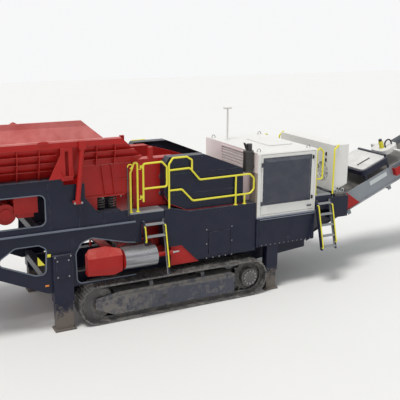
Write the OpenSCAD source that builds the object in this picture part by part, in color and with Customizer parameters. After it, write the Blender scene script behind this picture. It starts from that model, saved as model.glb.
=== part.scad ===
// Mobile jaw crusher on crawler tracks, with feed hopper, vibrating feeder, engine canopy and conveyors.
// Lengths are millimetres. X runs along the machine towards the main conveyor, Y away from the near side.
// Z is up from the ground. Lengths along X are first given from the middle of the tracks.

/* [Machine] */
// Rear end of the hopper rim, from the middle of the tracks
hopper_rear_x = -5640; // [-5900:10:-5400]
// Half the width over the side plates and body panels
body_half = 1250; // [1230:5:1280]
// Height of the top of the side plates
chassis_top_z = 3170; // [3150:5:3190]
// Thickness of the side plates
plate_t = 20; // [12:1:25]
// Width of the raised lips round the openings in the side plates
lip_w = 22; // [14:1:24]

/* [Tracks] */
// Distance between the wheel centres of one track
wheel_base = 3620; // [3500:10:3640]
// Middle of one track from the centre line
track_y = 1150; // [1145:1:1160]
// Width of the track shoes
shoe_w = 500; // [460:5:500]
// Number of shoes on one track
shoe_count = 52; // [48:1:56]
// Thickness of a shoe plate
shoe_t = 14; // [10:1:18]
// Height of a grouser bar
grouser_h = 20; // [10:1:28]
// Height of the link rails under the shoes
link_h = 80; // [60:1:90]
// Width of one link rail
link_w = 40; // [30:1:45]
// Distance from the middle of the chain to the inside of a link rail
link_gap = 60; // [50:1:65]
// Radius of the idler wheel and of the inside of the chain
wheel_r = 326; // [300:1:340]
// Radius of the lower rollers
roller_r = 75; // [60:1:85]
// Number of lower rollers on one track
roller_count = 7; // [5:1:8]
// Number of teeth on a drive sprocket
sprocket_teeth = 15; // [13:1:17]

/* [Main frame] */
// Distance from the centre line to the inside of a long beam
beam_y = 700; // [690:1:720]
// Thickness of a long beam
beam_t = 100; // [80:1:120]
// Height of the cross beams between the tracks
cross_h = 180; // [160:1:180]
// Bottom of the cross beams between the tracks
cross_z = 380; // [370:1:385]

/* [Jack legs] */
// Size of a rear sleeve along X
rear_sleeve_l = 400; // [360:5:420]
// Gap between the end of a track and a rear sleeve
rear_leg_gap = 90; // [70:5:110]
// Size of a front sleeve along X
front_sleeve_l = 300; // [280:5:320]
// Gap between the end of a track and a front sleeve
front_leg_gap = 60; // [55:5:80]
// Wall of a sleeve
sleeve_t = 16; // [12:1:20]
// Gap between a leg and its sleeve
leg_gap = 6; // [5:0.5:10]
// How far a leg can be drawn up
leg_travel = 400; // [300:10:420]

/* [Hopper] */
// Height of the hopper rim
rim_z = 3930; // [3900:5:3950]
// Half the width over the hopper rim
rim_half = 1330; // [1320:1:1335]
// Height of the rim band
rim_h = 140; // [120:1:160]
// Thickness of the hopper sheets
sheet_t = 16; // [12:1:20]
// Front end of the rim
rim_front_x = -1270; // [-1300:5:-1250]
// Front end of the lower edge of a hopper side
wing_front_x = -730; // [-760:5:-720]
// Distance between upright ribs on a hopper side
rib_pitch = 420; // [380:5:480]
// Depth of the upright ribs
rib_depth = 130; // [90:5:150]

/* [Feeder] */
// Half the inner width of the feeder pan
pan_half = 600; // [580:5:610]
// Top of the pan floor
pan_floor_z = 2900; // [2880:5:2920]
// Top of the pan side walls
pan_top_z = 3100; // [3060:5:3120]
// Front lip of the pan
pan_front_x = -900; // [-920:5:-890]
// Outside of the spring brackets from the centre line
bracket_half = 1100; // [1080:5:1120]
// Radius of a coil spring to the middle of its wire
spring_r = 80; // [70:1:85]
// Radius of the spring wire
spring_wire_r = 14; // [10:1:16]
// Number of coils in a spring
spring_turns = 5; // [4:1:6]
// Seat height under the springs
spring_seat_z = 2400; // [2380:5:2410]
// Free height of a spring between its plates
spring_h = 290; // [270:5:300]

/* [Crusher] */
// Middle of the eccentric shaft along X
shaft_x = 370; // [360:5:380]
// Height of the eccentric shaft
shaft_z = 2780; // [2770:5:2790]
// Radius of the eccentric shaft
shaft_r = 90; // [80:1:95]
// Radial running gap of the shaft in its bearings
shaft_fit = 0.06; // [0.02:0.01:0.09]
// Radius of a flywheel
flywheel_r = 530; // [500:1:536]
// Width of a flywheel rim
flywheel_w = 160; // [140:1:160]
// Half the inner width of the jaw chamber
chamber_half = 600; // [590:5:605]
// Opening between the jaws at the top
jaw_gape = 750; // [720:5:760]
// Closed side gap between the jaws at the bottom
jaw_gap = 110; // [80:5:150]
// Thickness of a jaw plate without its ribs
jaw_t = 90; // [70:5:100]

/* [Body] */
// Right end of the body panels
panel_end_x = 1990; // [1980:1:1995]
// Bottom of the body panels
panel_low_z = 1050; // [1040:5:1060]
// Top of the body panels
panel_top_z = 2180; // [2150:5:2200]
// Depth of the body panels along Y
panel_depth = 330; // [300:5:340]

/* [Canopy] */
// Left end of the canopy
canopy_x = 2000; // [1995:1:2010]
// Length of the canopy
canopy_l = 1610; // [1590:5:1630]
// Half the width of the canopy
canopy_half = 1280; // [1270:1:1285]
// Bottom of the canopy
canopy_low_z = 1830; // [1825:5:1840]
// Top of the canopy
roof_z = 3320; // [3300:5:3340]
// Bottom of the canopy base
base_low_z = 1120; // [1120:5:1140]
// Thickness of the canopy door
door_t = 40; // [30:1:45]
// Gap around the canopy door
door_gap = 8; // [6:0.5:12]
// Radius of the long edges of the roof
roof_r = 45; // [20:5:45]
// Width of the bevel round the raised door panel
bevel_w = 85; // [60:5:100]

/* [Rails and ladders] */
// Diameter of the yellow handrail tube
rail_d = 42; // [34:1:48]
// Bend radius of the handrail tube
rail_bend = 90; // [60:5:110]
// Distance of the handrails from the centre line
rail_y = 1200; // [1190:1:1210]
// Height of the small platform
deck_z = 2300; // [2290:5:2320]
// Height of the service platform
service_z = 2180; // [2170:5:2200]
// Length of the service platform along X
service_l = 480; // [460:5:500]
// Distance between ladder rungs
rung_pitch = 250; // [220:5:280]

/* [Cooler] */
// Left face of the cooler box
cooler_x = 4200; // [4180:5:4220]
// Length of the cooler box along X
cooler_l = 440; // [420:5:460]
// Bottom of the cooler box
cooler_low_z = 2200; // [2180:5:2220]
// Half the width of the cooler box
cooler_half = 1150; // [1130:5:1160]
// Radius of the fan opening
fan_r = 230; // [200:5:250]

/* [Main conveyor] */
// Middle of the tail drum along X
tail_x = -380; // [-390:5:-360]
// Height of the tail drum
tail_z = 760; // [750:5:770]
// Where the conveyor starts to rise
kink_x = 3000; // [2950:5:3050]
// Rise of the conveyor in degrees
conveyor_rise = 22; // [21:0.5:23]
// Middle of the head drum along X
head_x = 8500; // [8300:10:8700]
// Half the width over the conveyor side plates
conveyor_half = 620; // [600:5:630]
// Radius of the conveyor drums
drum_r = 160; // [140:5:170]
// Thickness of the conveyor belts
belt_t = 14; // [10:1:18]
// Height of the rising side plates
conveyor_h = 490; // [460:5:510]
// Start of the red covers on the rising side plates
cover_x = 4300; // [4250:10:4350]
// Length of those covers
cover_l = 790; // [700:10:850]

/* [Magnet] */
// Distance of the magnet along the rise from the kink
magnet_s = 2990; // [2950:10:3020]
// Length of the magnet along the rise
magnet_l = 920; // [880:5:950]
// Half the width of the magnet
magnet_half = 640; // [620:5:660]
// Height of the magnet frame
magnet_h = 130; // [110:5:150]
// Height of the magnet frame above the conveyor line
magnet_clear = 480; // [460:5:500]

/* [Side conveyor] */
// Left edge of the side belt
side_belt_x = -1300; // [-1310:5:-1290]
// Width of the side belt
side_belt_w = 720; // [700:5:725]
// Radius of the near drum
near_drum_r = 200; // [190:5:210]
// Height of the near drum
near_drum_z = 1380; // [1370:5:1390]
// Distance of the near drum from the centre line
near_drum_y = 1400; // [1380:5:1410]

/* [Hidden] */
$fn = 48;

navy = [0.15, 0.17, 0.23];
machine_red = [0.75, 0.08, 0.08];
rail_yellow = [0.9, 0.82, 0.2];
canopy_white = [0.88, 0.87, 0.84];
muddy = [0.4, 0.36, 0.31];
steel = [0.6, 0.6, 0.62];
rubber_black = [0.12, 0.12, 0.13];
pale_grey = [0.62, 0.66, 0.68];

// The front end is the outer face of the head drum belt
head_end_x = head_x + drum_r + belt_t;
mid_x = (hopper_rear_x + head_end_x) / 2;
eps = 0.5;
elbow_over = 1;

// Tracks
track_z = grouser_h + shoe_t + link_h + wheel_r;
rear_leg_x = -(wheel_base / 2 + track_z + rear_leg_gap + rear_sleeve_l / 2);
front_leg_x = wheel_base / 2 + track_z + front_leg_gap + front_sleeve_l / 2;
shoe_in_r = wheel_r + link_h;
loop_l = 2 * wheel_base + 2 * PI * (shoe_in_r);
skirt_in = 150;
skirt_t = 20;
frame_top_z = 640;
frame_low_z = 290;
skirt_low_z = 150;

// Long beams
beam_low_z = cross_z + cross_h;
beam_high_z = base_low_z;
beam_step_z = 1030;
beam_rear_x = -2620;
beam_end_x = 3700;

// Jack legs
sleeve_out = 1330;
rear_sleeve_w = 240;
front_sleeve_w = 200;
front_sleeve_out = 1270;
rear_sleeve_low = 620;
rear_sleeve_top = 1630;
front_sleeve_low = 480;
front_sleeve_top = 1560;
foot_t = 40;
pad_fit = 0.3;

// Hopper
base_half = 1030;
funnel_half = pan_half + 60;
funnel_z = chassis_top_z - 160;
wing_low_z = 3370;
rear_base_x = hopper_rear_x + 300;
wing_rear_x = hopper_rear_x + 60;
strut_y = 1345;
strut_d = 100;

// Springs under the feeder
rear_spring_x = -4800;
front_spring_x = -1480;
drive_x = -3600;

// Chassis plate
seat_tube_x = -5120;
plate_rear_x = hopper_rear_x + 160;
plate_end_x = -960;

// Crusher
cheek_in = chamber_half + 40;
cheek_t = 60;
body_out = 900;
jaw_low_z = 1600;
corner_x = 490;
corner_top_x = 120;
corner_z = 1440;
fly_in = 925;

// Conveyor
rise_dz = tan(conveyor_rise);
head_z = tail_z + (head_x - kink_x) * rise_dz;
rise_l = (head_x - kink_x) / cos(conveyor_rise);
frame_t = 16;
belt_half = 500;
flange_w = 45;
flange_t = 10;
low_h = 150 * cos(conveyor_rise);

// Platform
deck_x = -1060;
gate_hinge_x = -795;
gate_rows = [2580, 3220];

// Canopy and walkway
door_x = canopy_x + 100;
door_l = 1455;
door_low_z = canopy_low_z + 50;
door_high_z = roof_z - 50;
hinge_rows = [2150, 3050];
mast_h = 800;
service_x = canopy_x + canopy_l;

// Cooler
cooler_flat = 60;
valve_z = service_z - 110;
fan_y = 730;
fan_z = 2640;

module place() {
  translate([-mid_x, 0, 0]) children();
}

// Draws the children again mirrored to the far side
module far_side(is_far) {
  if (is_far) mirror([0, 1, 0]) children();
  else children();
}

module both_sides() {
  children();
  mirror([0, 1, 0]) children();
}

// A plate with its outline in X and Z, from y_low to y_high
module plate_xz(y_low, y_high) {
  translate([0, y_high, 0]) rotate([90, 0, 0]) linear_extrude(y_high - y_low) children();
}

// A bar with its outline in Y and Z, from x_low to x_high
module bar_yz(x_low, x_high) {
  translate([x_low, 0, 0]) rotate([90, 0, 90]) linear_extrude(x_high - x_low) children();
}

// A box from its lowest to its highest corner
module box(low, high) {
  translate(low) cube(high - low);
}

module cyl_y(x, y_low, y_high, z, r) {
  translate([x, y_high, z]) rotate([90, 0, 0]) cylinder(h = y_high - y_low, r = r);
}

module cyl_x(x_low, x_high, y, z, r) {
  translate([x_low, y, z]) rotate([0, 90, 0]) cylinder(h = x_high - x_low, r = r);
}

// Outline with rounded corners
module rounded(points, r) {
  offset(r) offset(-r) polygon(points);
}

// Plane bent tube through the points, with a bend at each inner point
function heading(a, b) = atan2(b[1] - a[1], b[0] - a[0]);
function turn(a, b, c) = let (t = heading(b, c) - heading(a, b)) t > 180 ? t - 360 : t < -180 ? t + 360 : t;
function along(p, angle, s) = [p[0] + s * cos(angle), p[1] + s * sin(angle)];
function bend_cut(points, i, r) =
  i == 0 || i == len(points) - 1 ? 0
  : r * tan(abs(turn(points[i - 1], points[i], points[i + 1])) / 2);

// The elbows are a little fatter than the tube, and the straight lengths end just inside them
module bent_tube(points, d, r) {
  lap = 4;
  last = len(points) - 1;
  for (i = [0 : last - 1]) {
    a = points[i];
    b = points[i + 1];
    way = heading(a, b);
    start = along(a, way, bend_cut(points, i, r) - (i > 0 ? lap : 0));
    stop = along(b, way, (i + 1 < last ? lap : 0) - bend_cut(points, i + 1, r));
    translate([start[0], start[1], 0]) rotate([0, 0, way]) rotate([0, 90, 0])
      cylinder(h = norm(stop - start), d = d, $fn = 24);
  }
  for (i = [1 : 1 : last - 1]) {
    way = heading(points[i - 1], points[i]);
    angle = turn(points[i - 1], points[i], points[i + 1]);
    side = angle > 0 ? 1 : -1;
    tangent = along(points[i], way, -bend_cut(points, i, r));
    centre = along(tangent, way + 90 * side, r);
    first = angle > 0 ? way - 90 : way + 90 + angle;
    translate([centre[0], centre[1], 0]) rotate([0, 0, first])
      rotate_extrude(angle = abs(angle)) translate([r, 0]) circle(d = d + 2 * elbow_over, $fn = 24);
  }
}

// The same tube standing in the plane y
module rail(points, y, r = rail_bend) {
  translate([0, y, 0]) rotate([90, 0, 0]) bent_tube(points, rail_d, r);
}

// Tracks
function loop_place(s) =
  let (quarter = PI * shoe_in_r)
  s < wheel_base ? [-wheel_base / 2 + s, -shoe_in_r, 0]
  : s < wheel_base + quarter
    ? let (a = (s - wheel_base) / shoe_in_r * 180 / PI)
      [wheel_base / 2 + shoe_in_r * sin(a), -shoe_in_r * cos(a), a]
  : s < 2 * wheel_base + quarter ? [wheel_base / 2 - (s - wheel_base - quarter), shoe_in_r, 180]
  : let (a = 180 + (s - 2 * wheel_base - quarter) / shoe_in_r * 180 / PI)
    [-wheel_base / 2 + shoe_in_r * sin(a), -shoe_in_r * cos(a), a];

module loop_outline(r) {
  translate([-wheel_base / 2, -r]) square([wheel_base, 2 * r]);
  translate([-wheel_base / 2, 0]) circle(r = r);
  translate([wheel_base / 2, 0]) circle(r = r);
}

module shoe_outline() {
  pitch = loop_l / shoe_count;
  bar_w = 14;
  translate([-pitch / 2 + 3, -shoe_t]) square([pitch - 6, shoe_t + 6]);
  for (i = [-1 : 1])
    translate([i * pitch / 3 - bar_w / 2, -shoe_t - grouser_h]) square([bar_w, grouser_h + 1]);
}

module track_chain(is_far) {
  color(muddy) place() far_side(is_far) translate([0, -track_y, track_z]) {
    plate_xz(-shoe_w / 2, shoe_w / 2) for (i = [0 : shoe_count - 1]) {
      spot = loop_place((i + 0.5) * loop_l / shoe_count);
      translate([spot[0], spot[1]]) rotate(spot[2]) shoe_outline();
    }
    for (side = [-1, 1]) {
      rail_low = side > 0 ? link_gap : -link_gap - link_w;
      plate_xz(rail_low, rail_low + link_w) difference() {
        loop_outline(shoe_in_r - 2);
        loop_outline(wheel_r);
      }
    }
  }
}

module track_frame(is_far) {
  half = wheel_base / 2;
  box_end = half - wheel_r - 40;
  color(muddy) place() far_side(is_far) translate([0, -track_y, 0]) {
    difference() {
      plate_xz(-skirt_in - skirt_t, skirt_in + skirt_t) polygon([
        [-half - 70, 330], [-half + 150, 230], [-half + 330, skirt_low_z], [half - 390, skirt_low_z],
        [half - 390, frame_top_z - 60], [half - 470, frame_top_z], [-half + 420, frame_top_z],
        [-half - 70, 560]
      ]);
      box([-half - 200, -skirt_in, 0], [half, skirt_in, frame_low_z]);
      box([-half - 200, -skirt_in, 0], [-box_end, skirt_in, 900]);
      box([box_end - 60, -skirt_in, 0], [half, skirt_in, 900]);
      plate_xz(-skirt_in - skirt_t - 1, -skirt_in - skirt_t + 12)
        polygon([[-half + 60, 480], [-half + 420, 560], [half - 470, 560], [half - 470, 700], [-half, 700]]);
    }
    plate_xz(skirt_in, skirt_in + skirt_t) polygon([
      [half - 391, skirt_low_z], [half - 150, 240], [half + 190, 240], [half + 190, 600],
      [half - 150, 640], [half - 391, frame_top_z - 60]
    ]);
    for (x = [-620, 620], y = [-130, 112])
      box([x - 40, y, frame_top_z], [x + 40, y + 18, track_z + wheel_r - 20]);
  }
}

module roller(x, z, r, half, axle) {
  cyl_y(x, -half, half, z, r);
  cyl_y(x, -half - 25, half + 25, z, r * 0.6);
  cyl_y(x, -axle, axle, z, r * 0.35);
}

module track_wheels(is_far) {
  half = wheel_base / 2;
  hub_r = 205;
  root_r = wheel_r - 6;
  color(muddy) place() far_side(is_far) translate([0, -track_y, 0]) {
    // Idler wheel with its centre flange
    cyl_y(-half, -105, 105, track_z, wheel_r - eps);
    cyl_y(-half, -link_gap + 8, link_gap - 8, track_z, wheel_r + 30);
    cyl_y(-half, -skirt_in, skirt_in, track_z, 80);
    // Drive sprocket with its hub
    cyl_y(half, -skirt_in - skirt_t - 15, skirt_in, track_z, hub_r);
    cyl_y(half, -skirt_in - skirt_t - 40, -skirt_in, track_z, hub_r - 70);
    translate([half, 30, track_z]) rotate([90, 0, 0]) linear_extrude(60) {
      circle(r = root_r);
      for (i = [0 : sprocket_teeth - 1]) rotate(i * 360 / sprocket_teeth)
        polygon([[root_r - 20, -38], [shoe_in_r - 25, -14], [shoe_in_r - 25, 14], [root_r - 20, 38]]);
    }
    // Lower rollers between the skirts
    for (i = [0 : roller_count - 1]) {
      span = wheel_base - 2 * wheel_r - 560;
      x = -span / 2 + i * span / (roller_count - 1) - 20;
      roller(x, track_z - wheel_r + roller_r + eps, roller_r, 105, skirt_in);
    }
    // Upper rollers between their lugs
    for (x = [-620, 620]) roller(x, track_z + wheel_r - 46 - eps, 46, 85, 112);
  }
}

// Main frame
module main_frame() {
  inner = track_y - skirt_in - skirt_t;
  color(navy) place() {
    both_sides() plate_xz(-beam_y - beam_t, -beam_y) polygon([
      [beam_rear_x, beam_low_z + 180], [beam_rear_x + 400, beam_low_z], [1300, beam_low_z],
      [beam_end_x, beam_low_z + 200],
      [beam_end_x, beam_high_z], [-400, beam_high_z], [-480, beam_step_z], [beam_rear_x, beam_step_z]
    ]);
    for (x = [-1000, 1000]) box([x - 150, -inner, cross_z], [x + 150, inner, beam_low_z]);
    rear_half = body_half - plate_t;
    sleeve_in = sleeve_out - rear_sleeve_w;
    box([beam_rear_x - 160, -sleeve_in, 860], [beam_rear_x, sleeve_in, beam_step_z]);
    // Cross tubes between the side plates
    box([seat_tube_x - 160, -rear_half, spring_seat_z - 150], [seat_tube_x, rear_half, spring_seat_z]);
    box([-4150, -rear_half, 1960], [-4000, rear_half, 2110]);
    box([-2980, -rear_half, 1960], [-2830, rear_half, 2110]);
    box([rear_base_x - 80, -rear_half, funnel_z - 130], [rear_base_x + 20, rear_half, funnel_z - 10]);
    // Outriggers to the body panels
    both_sides() for (x = [300, 1500])
      box([x - 40, -body_half + panel_depth, beam_high_z - 60], [x + 40, -beam_y - beam_t, beam_high_z]);
  }
}

// Side plates
module lip() {
  difference() {
    offset(lip_w) children();
    children();
  }
}

module cut_upper() {
  rounded([[-5350, 2560], [-4900, 2280], [-2830, 2280], [-2830, 2880], [-5350, 2880]], 110);
}

module cut_lower() {
  rounded([[-3800, 1640], [-3740, 1560], [-3080, 1270], [-2880, 1270], [-2850, 1780], [-2990, 1870],
    [-3450, 1870]], 90);
}

module cut_belt() {
  rounded([[-2230, 960], [-700, 960], [-700, 1610], [-1190, 1690], [-1900, 1880], [-2120, 1800],
    [-2240, 1600]], 110);
}

module side_plate(is_far) {
  flange = 90;
  lip_t = 12;
  seat_low = spring_seat_z - 20;
  sleeve_low = rear_leg_x - rear_sleeve_l / 2;
  color(navy) place() far_side(is_far) {
    difference() {
      plate_xz(-body_half, -body_half + plate_t) polygon([
        [plate_rear_x, 2060], [-3770, 1270], [-2820, 830], [-2350, 830], [-2310, 905], [plate_end_x, 905],
        [plate_end_x, deck_z - 30], [-1080, deck_z - 30], [-1080, seat_low], [-1730, seat_low],
        [-2010, 2740], [-2010, 3040], [-2440, 3040], [-2440, chassis_top_z], [plate_rear_x, chassis_top_z]
      ]);
      plate_xz(-body_half - 1, -body_half + plate_t + 1) cut_upper();
      plate_xz(-body_half - 1, -body_half + plate_t + 1) cut_lower();
      plate_xz(-body_half - 1, -body_half + plate_t + 1) cut_belt();
      box([sleeve_low, -sleeve_out, rear_sleeve_low], [sleeve_low + rear_sleeve_l, 0, rear_sleeve_top]);
    }
    // Raised lips round the openings
    plate_xz(-body_half - lip_t, -body_half) {
      lip() cut_upper();
      lip() cut_lower();
      intersection() {
        lip() cut_belt();
        translate([-3000, 0]) square([3000 + plate_end_x, chassis_top_z]);
      }
    }
    // Upright stiffening bars on the outside
    for (spot = [[-2750, 2135, 3100], [-2150, 2135, 2640], [-1640, 2135, 2360], [-2330, 1690, 2110]])
      box([spot[0], -body_half - 8, spot[1]], [spot[0] + 40, -body_half, spot[2]]);
    // Flanges along the top and the middle, and upright ribs behind the plate
    box([rear_base_x + 25, -body_half + plate_t, chassis_top_z - 20],
      [-2440, -base_half - 10, chassis_top_z]);
    box([plate_rear_x, -body_half - 60, 2110], [plate_end_x, -body_half, 2135]);
    box([plate_rear_x, -body_half - 40, chassis_top_z - 14], [-2620, -body_half, chassis_top_z]);
    // Closing plate behind the front springs
    box([front_spring_x - 220, seat_in, spring_seat_z - 150],
      [front_spring_x + 220, seat_in + 12, spring_seat_z + 200]);
    for (x = [-5310, -2790, -2290])
      box([x, -body_half + plate_t, 2150], [x + 16, -body_half + plate_t + flange, 2940]);
    // Spring seats, the rear one on a web from the cross tube
    seat_in = -bracket_half + 330;
    box([front_spring_x - 220, -body_half + plate_t, spring_seat_z - 20],
      [front_spring_x + 220, seat_in, spring_seat_z]);
    box([seat_tube_x, -body_half + plate_t, spring_seat_z - 20],
      [rear_spring_x + 220, seat_in, spring_seat_z]);
    for (y = [-body_half + plate_t + 40, seat_in - 56])
      box([seat_tube_x, y, spring_seat_z - 150], [rear_spring_x + 160, y + 16, spring_seat_z - 20]);
  }
}

// Jack legs
module sleeve(x, l, out, w, low, top) {
  difference() {
    box([x - l / 2, -out, low], [x + l / 2, -out + w, top]);
    box([x - l / 2 + sleeve_t, -out + sleeve_t, low - 1],
      [x + l / 2 - sleeve_t, -out + w - sleeve_t, top - sleeve_t]);
  }
  // Wear pads that guide the leg
  pad = leg_gap - pad_fit;
  for (side = [-1, 1]) {
    skin = x + side * (l / 2 - sleeve_t);
    box([min(skin, skin - side * pad), -out + sleeve_t + 30, low + 10],
      [max(skin, skin - side * pad), -out + w - sleeve_t - 30, low + 130]);
  }
}

module leg(x, l, out, w, top) {
  skin = sleeve_t + leg_gap;
  box([x - l / 2 + skin, -out + skin, foot_t], [x + l / 2 - skin, -out + w - skin, top]);
  box([x - l / 2 - 20, -out - 20, 0], [x + l / 2 + 20, -out + w + 20, foot_t]);
}

module leg_sleeves() {
  color(navy) place() both_sides() {
    sleeve(rear_leg_x, rear_sleeve_l, sleeve_out, rear_sleeve_w, rear_sleeve_low, rear_sleeve_top);
    sleeve(front_leg_x, front_sleeve_l, front_sleeve_out, front_sleeve_w, front_sleeve_low, front_sleeve_top);
    // Collar strip and cover plate on the rear sleeve
    strip = 12;
    box([rear_leg_x - rear_sleeve_l / 2, -sleeve_out - strip, rear_sleeve_top - 50],
      [rear_leg_x + rear_sleeve_l / 2, -sleeve_out, rear_sleeve_top]);
    box([rear_leg_x - rear_sleeve_l / 2 + 60, -sleeve_out - strip, rear_sleeve_top - 480],
      [rear_leg_x + rear_sleeve_l / 2 - 60, -sleeve_out, rear_sleeve_top - 80]);
  }
}

module leg_rear(is_far) {
  color(navy) place() far_side(is_far)
    leg(rear_leg_x, rear_sleeve_l, sleeve_out, rear_sleeve_w, rear_sleeve_top - sleeve_t - leg_travel - 60);
}

module leg_front(is_far) {
  color(navy) place() far_side(is_far)
    leg(front_leg_x, front_sleeve_l, front_sleeve_out, front_sleeve_w,
      front_sleeve_top - sleeve_t - leg_travel - 60);
}

// Hopper
function wing_inside(t, over) = [
  [-base_half + t + over, chassis_top_z + t],
  [-rim_half + 50 + t + over, rim_z - rim_h + 10],
  [-rim_half + 30 + t + over, rim_z]
];

module wing_section(t) {
  // Rim, slope down to the chassis, then the funnel to the feeder
  polygon(concat([
    [-rim_half, rim_z], [-rim_half, rim_z - rim_h], [-rim_half + 40, rim_z - rim_h],
    [-base_half - 10, chassis_top_z], [-funnel_half - 10, funnel_z], [-funnel_half - 10, funnel_z + t]
  ], wing_inside(t, 0)));
}

module wing_side_outline() {
  polygon([
    [wing_rear_x, 2900], [-2050, 2900], [-2050, wing_low_z], [wing_front_x - 120, wing_low_z],
    [wing_front_x, wing_low_z + 90], [rim_front_x, rim_z + 1], [wing_rear_x, rim_z + 1]
  ]);
}

module rib_section() {
  polygon([
    [-rim_half + 8, rim_z - rim_h], [-rim_half + 8, rim_z - rim_h - 160],
    [-base_half - 10 - rib_depth, chassis_top_z], [-base_half - 10, chassis_top_z],
    [-rim_half + 40, rim_z - rim_h]
  ]);
}

module hopper_side(is_far) {
  color(machine_red) place() far_side(is_far) {
    intersection() {
      bar_yz(wing_rear_x, wing_front_x) wing_section(sheet_t);
      plate_xz(-rim_half - 10, 0) wing_side_outline();
    }
    intersection() {
      union() {
        for (x = [-2900 : -rib_pitch : wing_rear_x + 100]) bar_yz(x, x + 14) rib_section();
        for (x = [-1760, -1380]) bar_yz(x, x + 14) rib_section();
        for (z = [3330, 3490, 3650]) {
          lean = (rim_half - base_half - 40) / (rim_z - rim_h - chassis_top_z);
          y_skin = -base_half - (z - chassis_top_z) * lean;
          box([wing_rear_x, y_skin - 80, z], [-2560, y_skin - 8, z + 14]);
          box([-1990, y_skin - 80, z], [wing_front_x, y_skin - 8, z + 14]);
        }
      }
      plate_xz(-rim_half - 10, 0) wing_side_outline();
    }
  }
}

module hopper_rear() {
  top_half = rim_half - 60;
  color(machine_red) place() difference() {
    union() {
      plate_xz(-top_half, top_half) polygon([
        [hopper_rear_x, rim_z], [hopper_rear_x, rim_z - rim_h], [hopper_rear_x + 40, rim_z - rim_h],
        [rear_base_x, chassis_top_z], [rear_base_x + sheet_t + 4, chassis_top_z],
        [hopper_rear_x + 60, rim_z - rim_h + 10], [hopper_rear_x + 40, rim_z]
      ]);
      for (y = [-800, -400, 0, 400, 800]) plate_xz(y - 7, y + 7) polygon([
        [hopper_rear_x + 8, rim_z - rim_h], [hopper_rear_x + 40, rim_z - rim_h],
        [rear_base_x, chassis_top_z], [rear_base_x - 80, chassis_top_z]
      ]);
    }
    // The sides pass outside of the rear wall
    both_sides() bar_yz(wing_rear_x - eps, rear_base_x + 100) polygon(concat(
      [[-base_half + sheet_t + 60, chassis_top_z - 10]], wing_inside(sheet_t, eps),
      [[-rim_half + 30 + sheet_t + eps, rim_z + 10], [-rim_half - 10, rim_z + 10],
        [-rim_half - 10, chassis_top_z - 10]]
    ));
  }
}

module hopper_struts() {
  foot = [-2190, 2700];
  head = [-2060, rim_z - rim_h - 30];
  color(machine_red) place() both_sides() {
    translate([0, -strut_y, 0]) rotate([90, 0, 0]) bent_tube([foot, head], strut_d, 0);
    // Head bracket on the rim band and clevis on the side plate
    box([head[0] - 70, -rim_half - 65, rim_z - rim_h - 40], [head[0] + 70, -rim_half, rim_z - 20]);
    box([foot[0] - 80, -strut_y - 45, foot[1] - 40], [foot[0] + 80, -body_half, foot[1] + 10]);
    // Slotted wedge bracket
    difference() {
      box([-2490, -rim_half - 20, chassis_top_z - 20], [-2260, -rim_half, rim_z - rim_h]);
      box([-2410, -rim_half - 30, chassis_top_z + 60], [-2340, -rim_half + 10, rim_z - rim_h - 60]);
    }
    box([-2490, -rim_half, chassis_top_z - 20], [-2260, -body_half, chassis_top_z + 20]);
    plate_xz(-rim_half - 20, -rim_half - 6) polygon([
      [-2490, rim_z - rim_h - 120], [-2490, chassis_top_z + 20], [-2740, chassis_top_z + 20]
    ]);
    // Raised edge round the lower end of the slot
    plate_xz(-rim_half - 50, -rim_half - 20) polygon([
      [-2490, 3370], [-2450, 3215], [-2262, 3215], [-2262, 3420], [-2276, 3420], [-2276, 3229],
      [-2439, 3229], [-2475, 3374]
    ]);
    // Locking lug on the rim
    plate_xz(-rim_half - 14, -rim_half) polygon([
      [-2920, rim_z - 50], [-2920, rim_z - 10], [-2830, rim_z + 40], [-2800, rim_z + 40],
      [-2710, rim_z - 10], [-2710, rim_z - 50]
    ]);
  }
}

// Feeder
module feeder_pan() {
  wall = 20;
  front = -2050;
  color(machine_red) place() {
    difference() {
      box([hopper_rear_x + 330, -pan_half - wall, pan_floor_z - 30], [pan_front_x, pan_half + wall, pan_top_z]);
      box([hopper_rear_x + 350, -pan_half, pan_floor_z], [pan_front_x + 10, pan_half, pan_top_z + 10]);
      // Slots between the grizzly bars
      for (y = [-500 : 125 : 500])
        box([-2300, y - 35, pan_floor_z - 40], [pan_front_x - 60, y + 35, pan_floor_z + 10]);
    }
    both_sides() {
      // Spring bracket boxes at the front, with bolted flange and sloping ribs
      box([front, -bracket_half - 45, spring_seat_z + spring_h],
        [-1120, -pan_half - wall, spring_seat_z + spring_h + 20]);
      // Sloping side plate down beside the front springs
      plate_xz(-bracket_half, -bracket_half + 20) polygon([
        [front, spring_seat_z + spring_h + 10], [front, spring_seat_z + spring_h - 60],
        [-1800, spring_seat_z + 20], [-1715, spring_seat_z + 20], [-1715, spring_seat_z + spring_h + 10]
      ]);
      box([-1300, -bracket_half - 12, pan_floor_z + 120], [-950, -bracket_half, pan_floor_z + 134]);
      box([front, -bracket_half, spring_seat_z + spring_h + 20], [-950, -bracket_half + 20, wing_low_z - 20]);
      box([front, -bracket_half + 20, pan_floor_z - 30], [-950, -pan_half - wall, pan_floor_z - 10]);
      for (x = [-1600, -1390]) plate_xz(-bracket_half - 40, -bracket_half) polygon([
        [x - 20, wing_low_z - 20], [x, wing_low_z - 20], [x + 70, spring_seat_z + spring_h + 20],
        [x + 50, spring_seat_z + spring_h + 20]
      ]);
      // Rear spring brackets
      box([rear_spring_x - 220, -bracket_half, spring_seat_z + spring_h],
        [rear_spring_x + 220, -pan_half - wall, spring_seat_z + spring_h + 20]);
      box([rear_spring_x - 10, -bracket_half, spring_seat_z + spring_h + 20],
        [rear_spring_x + 10, -pan_half - wall, pan_floor_z + 60]);
    }
  }
}

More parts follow.
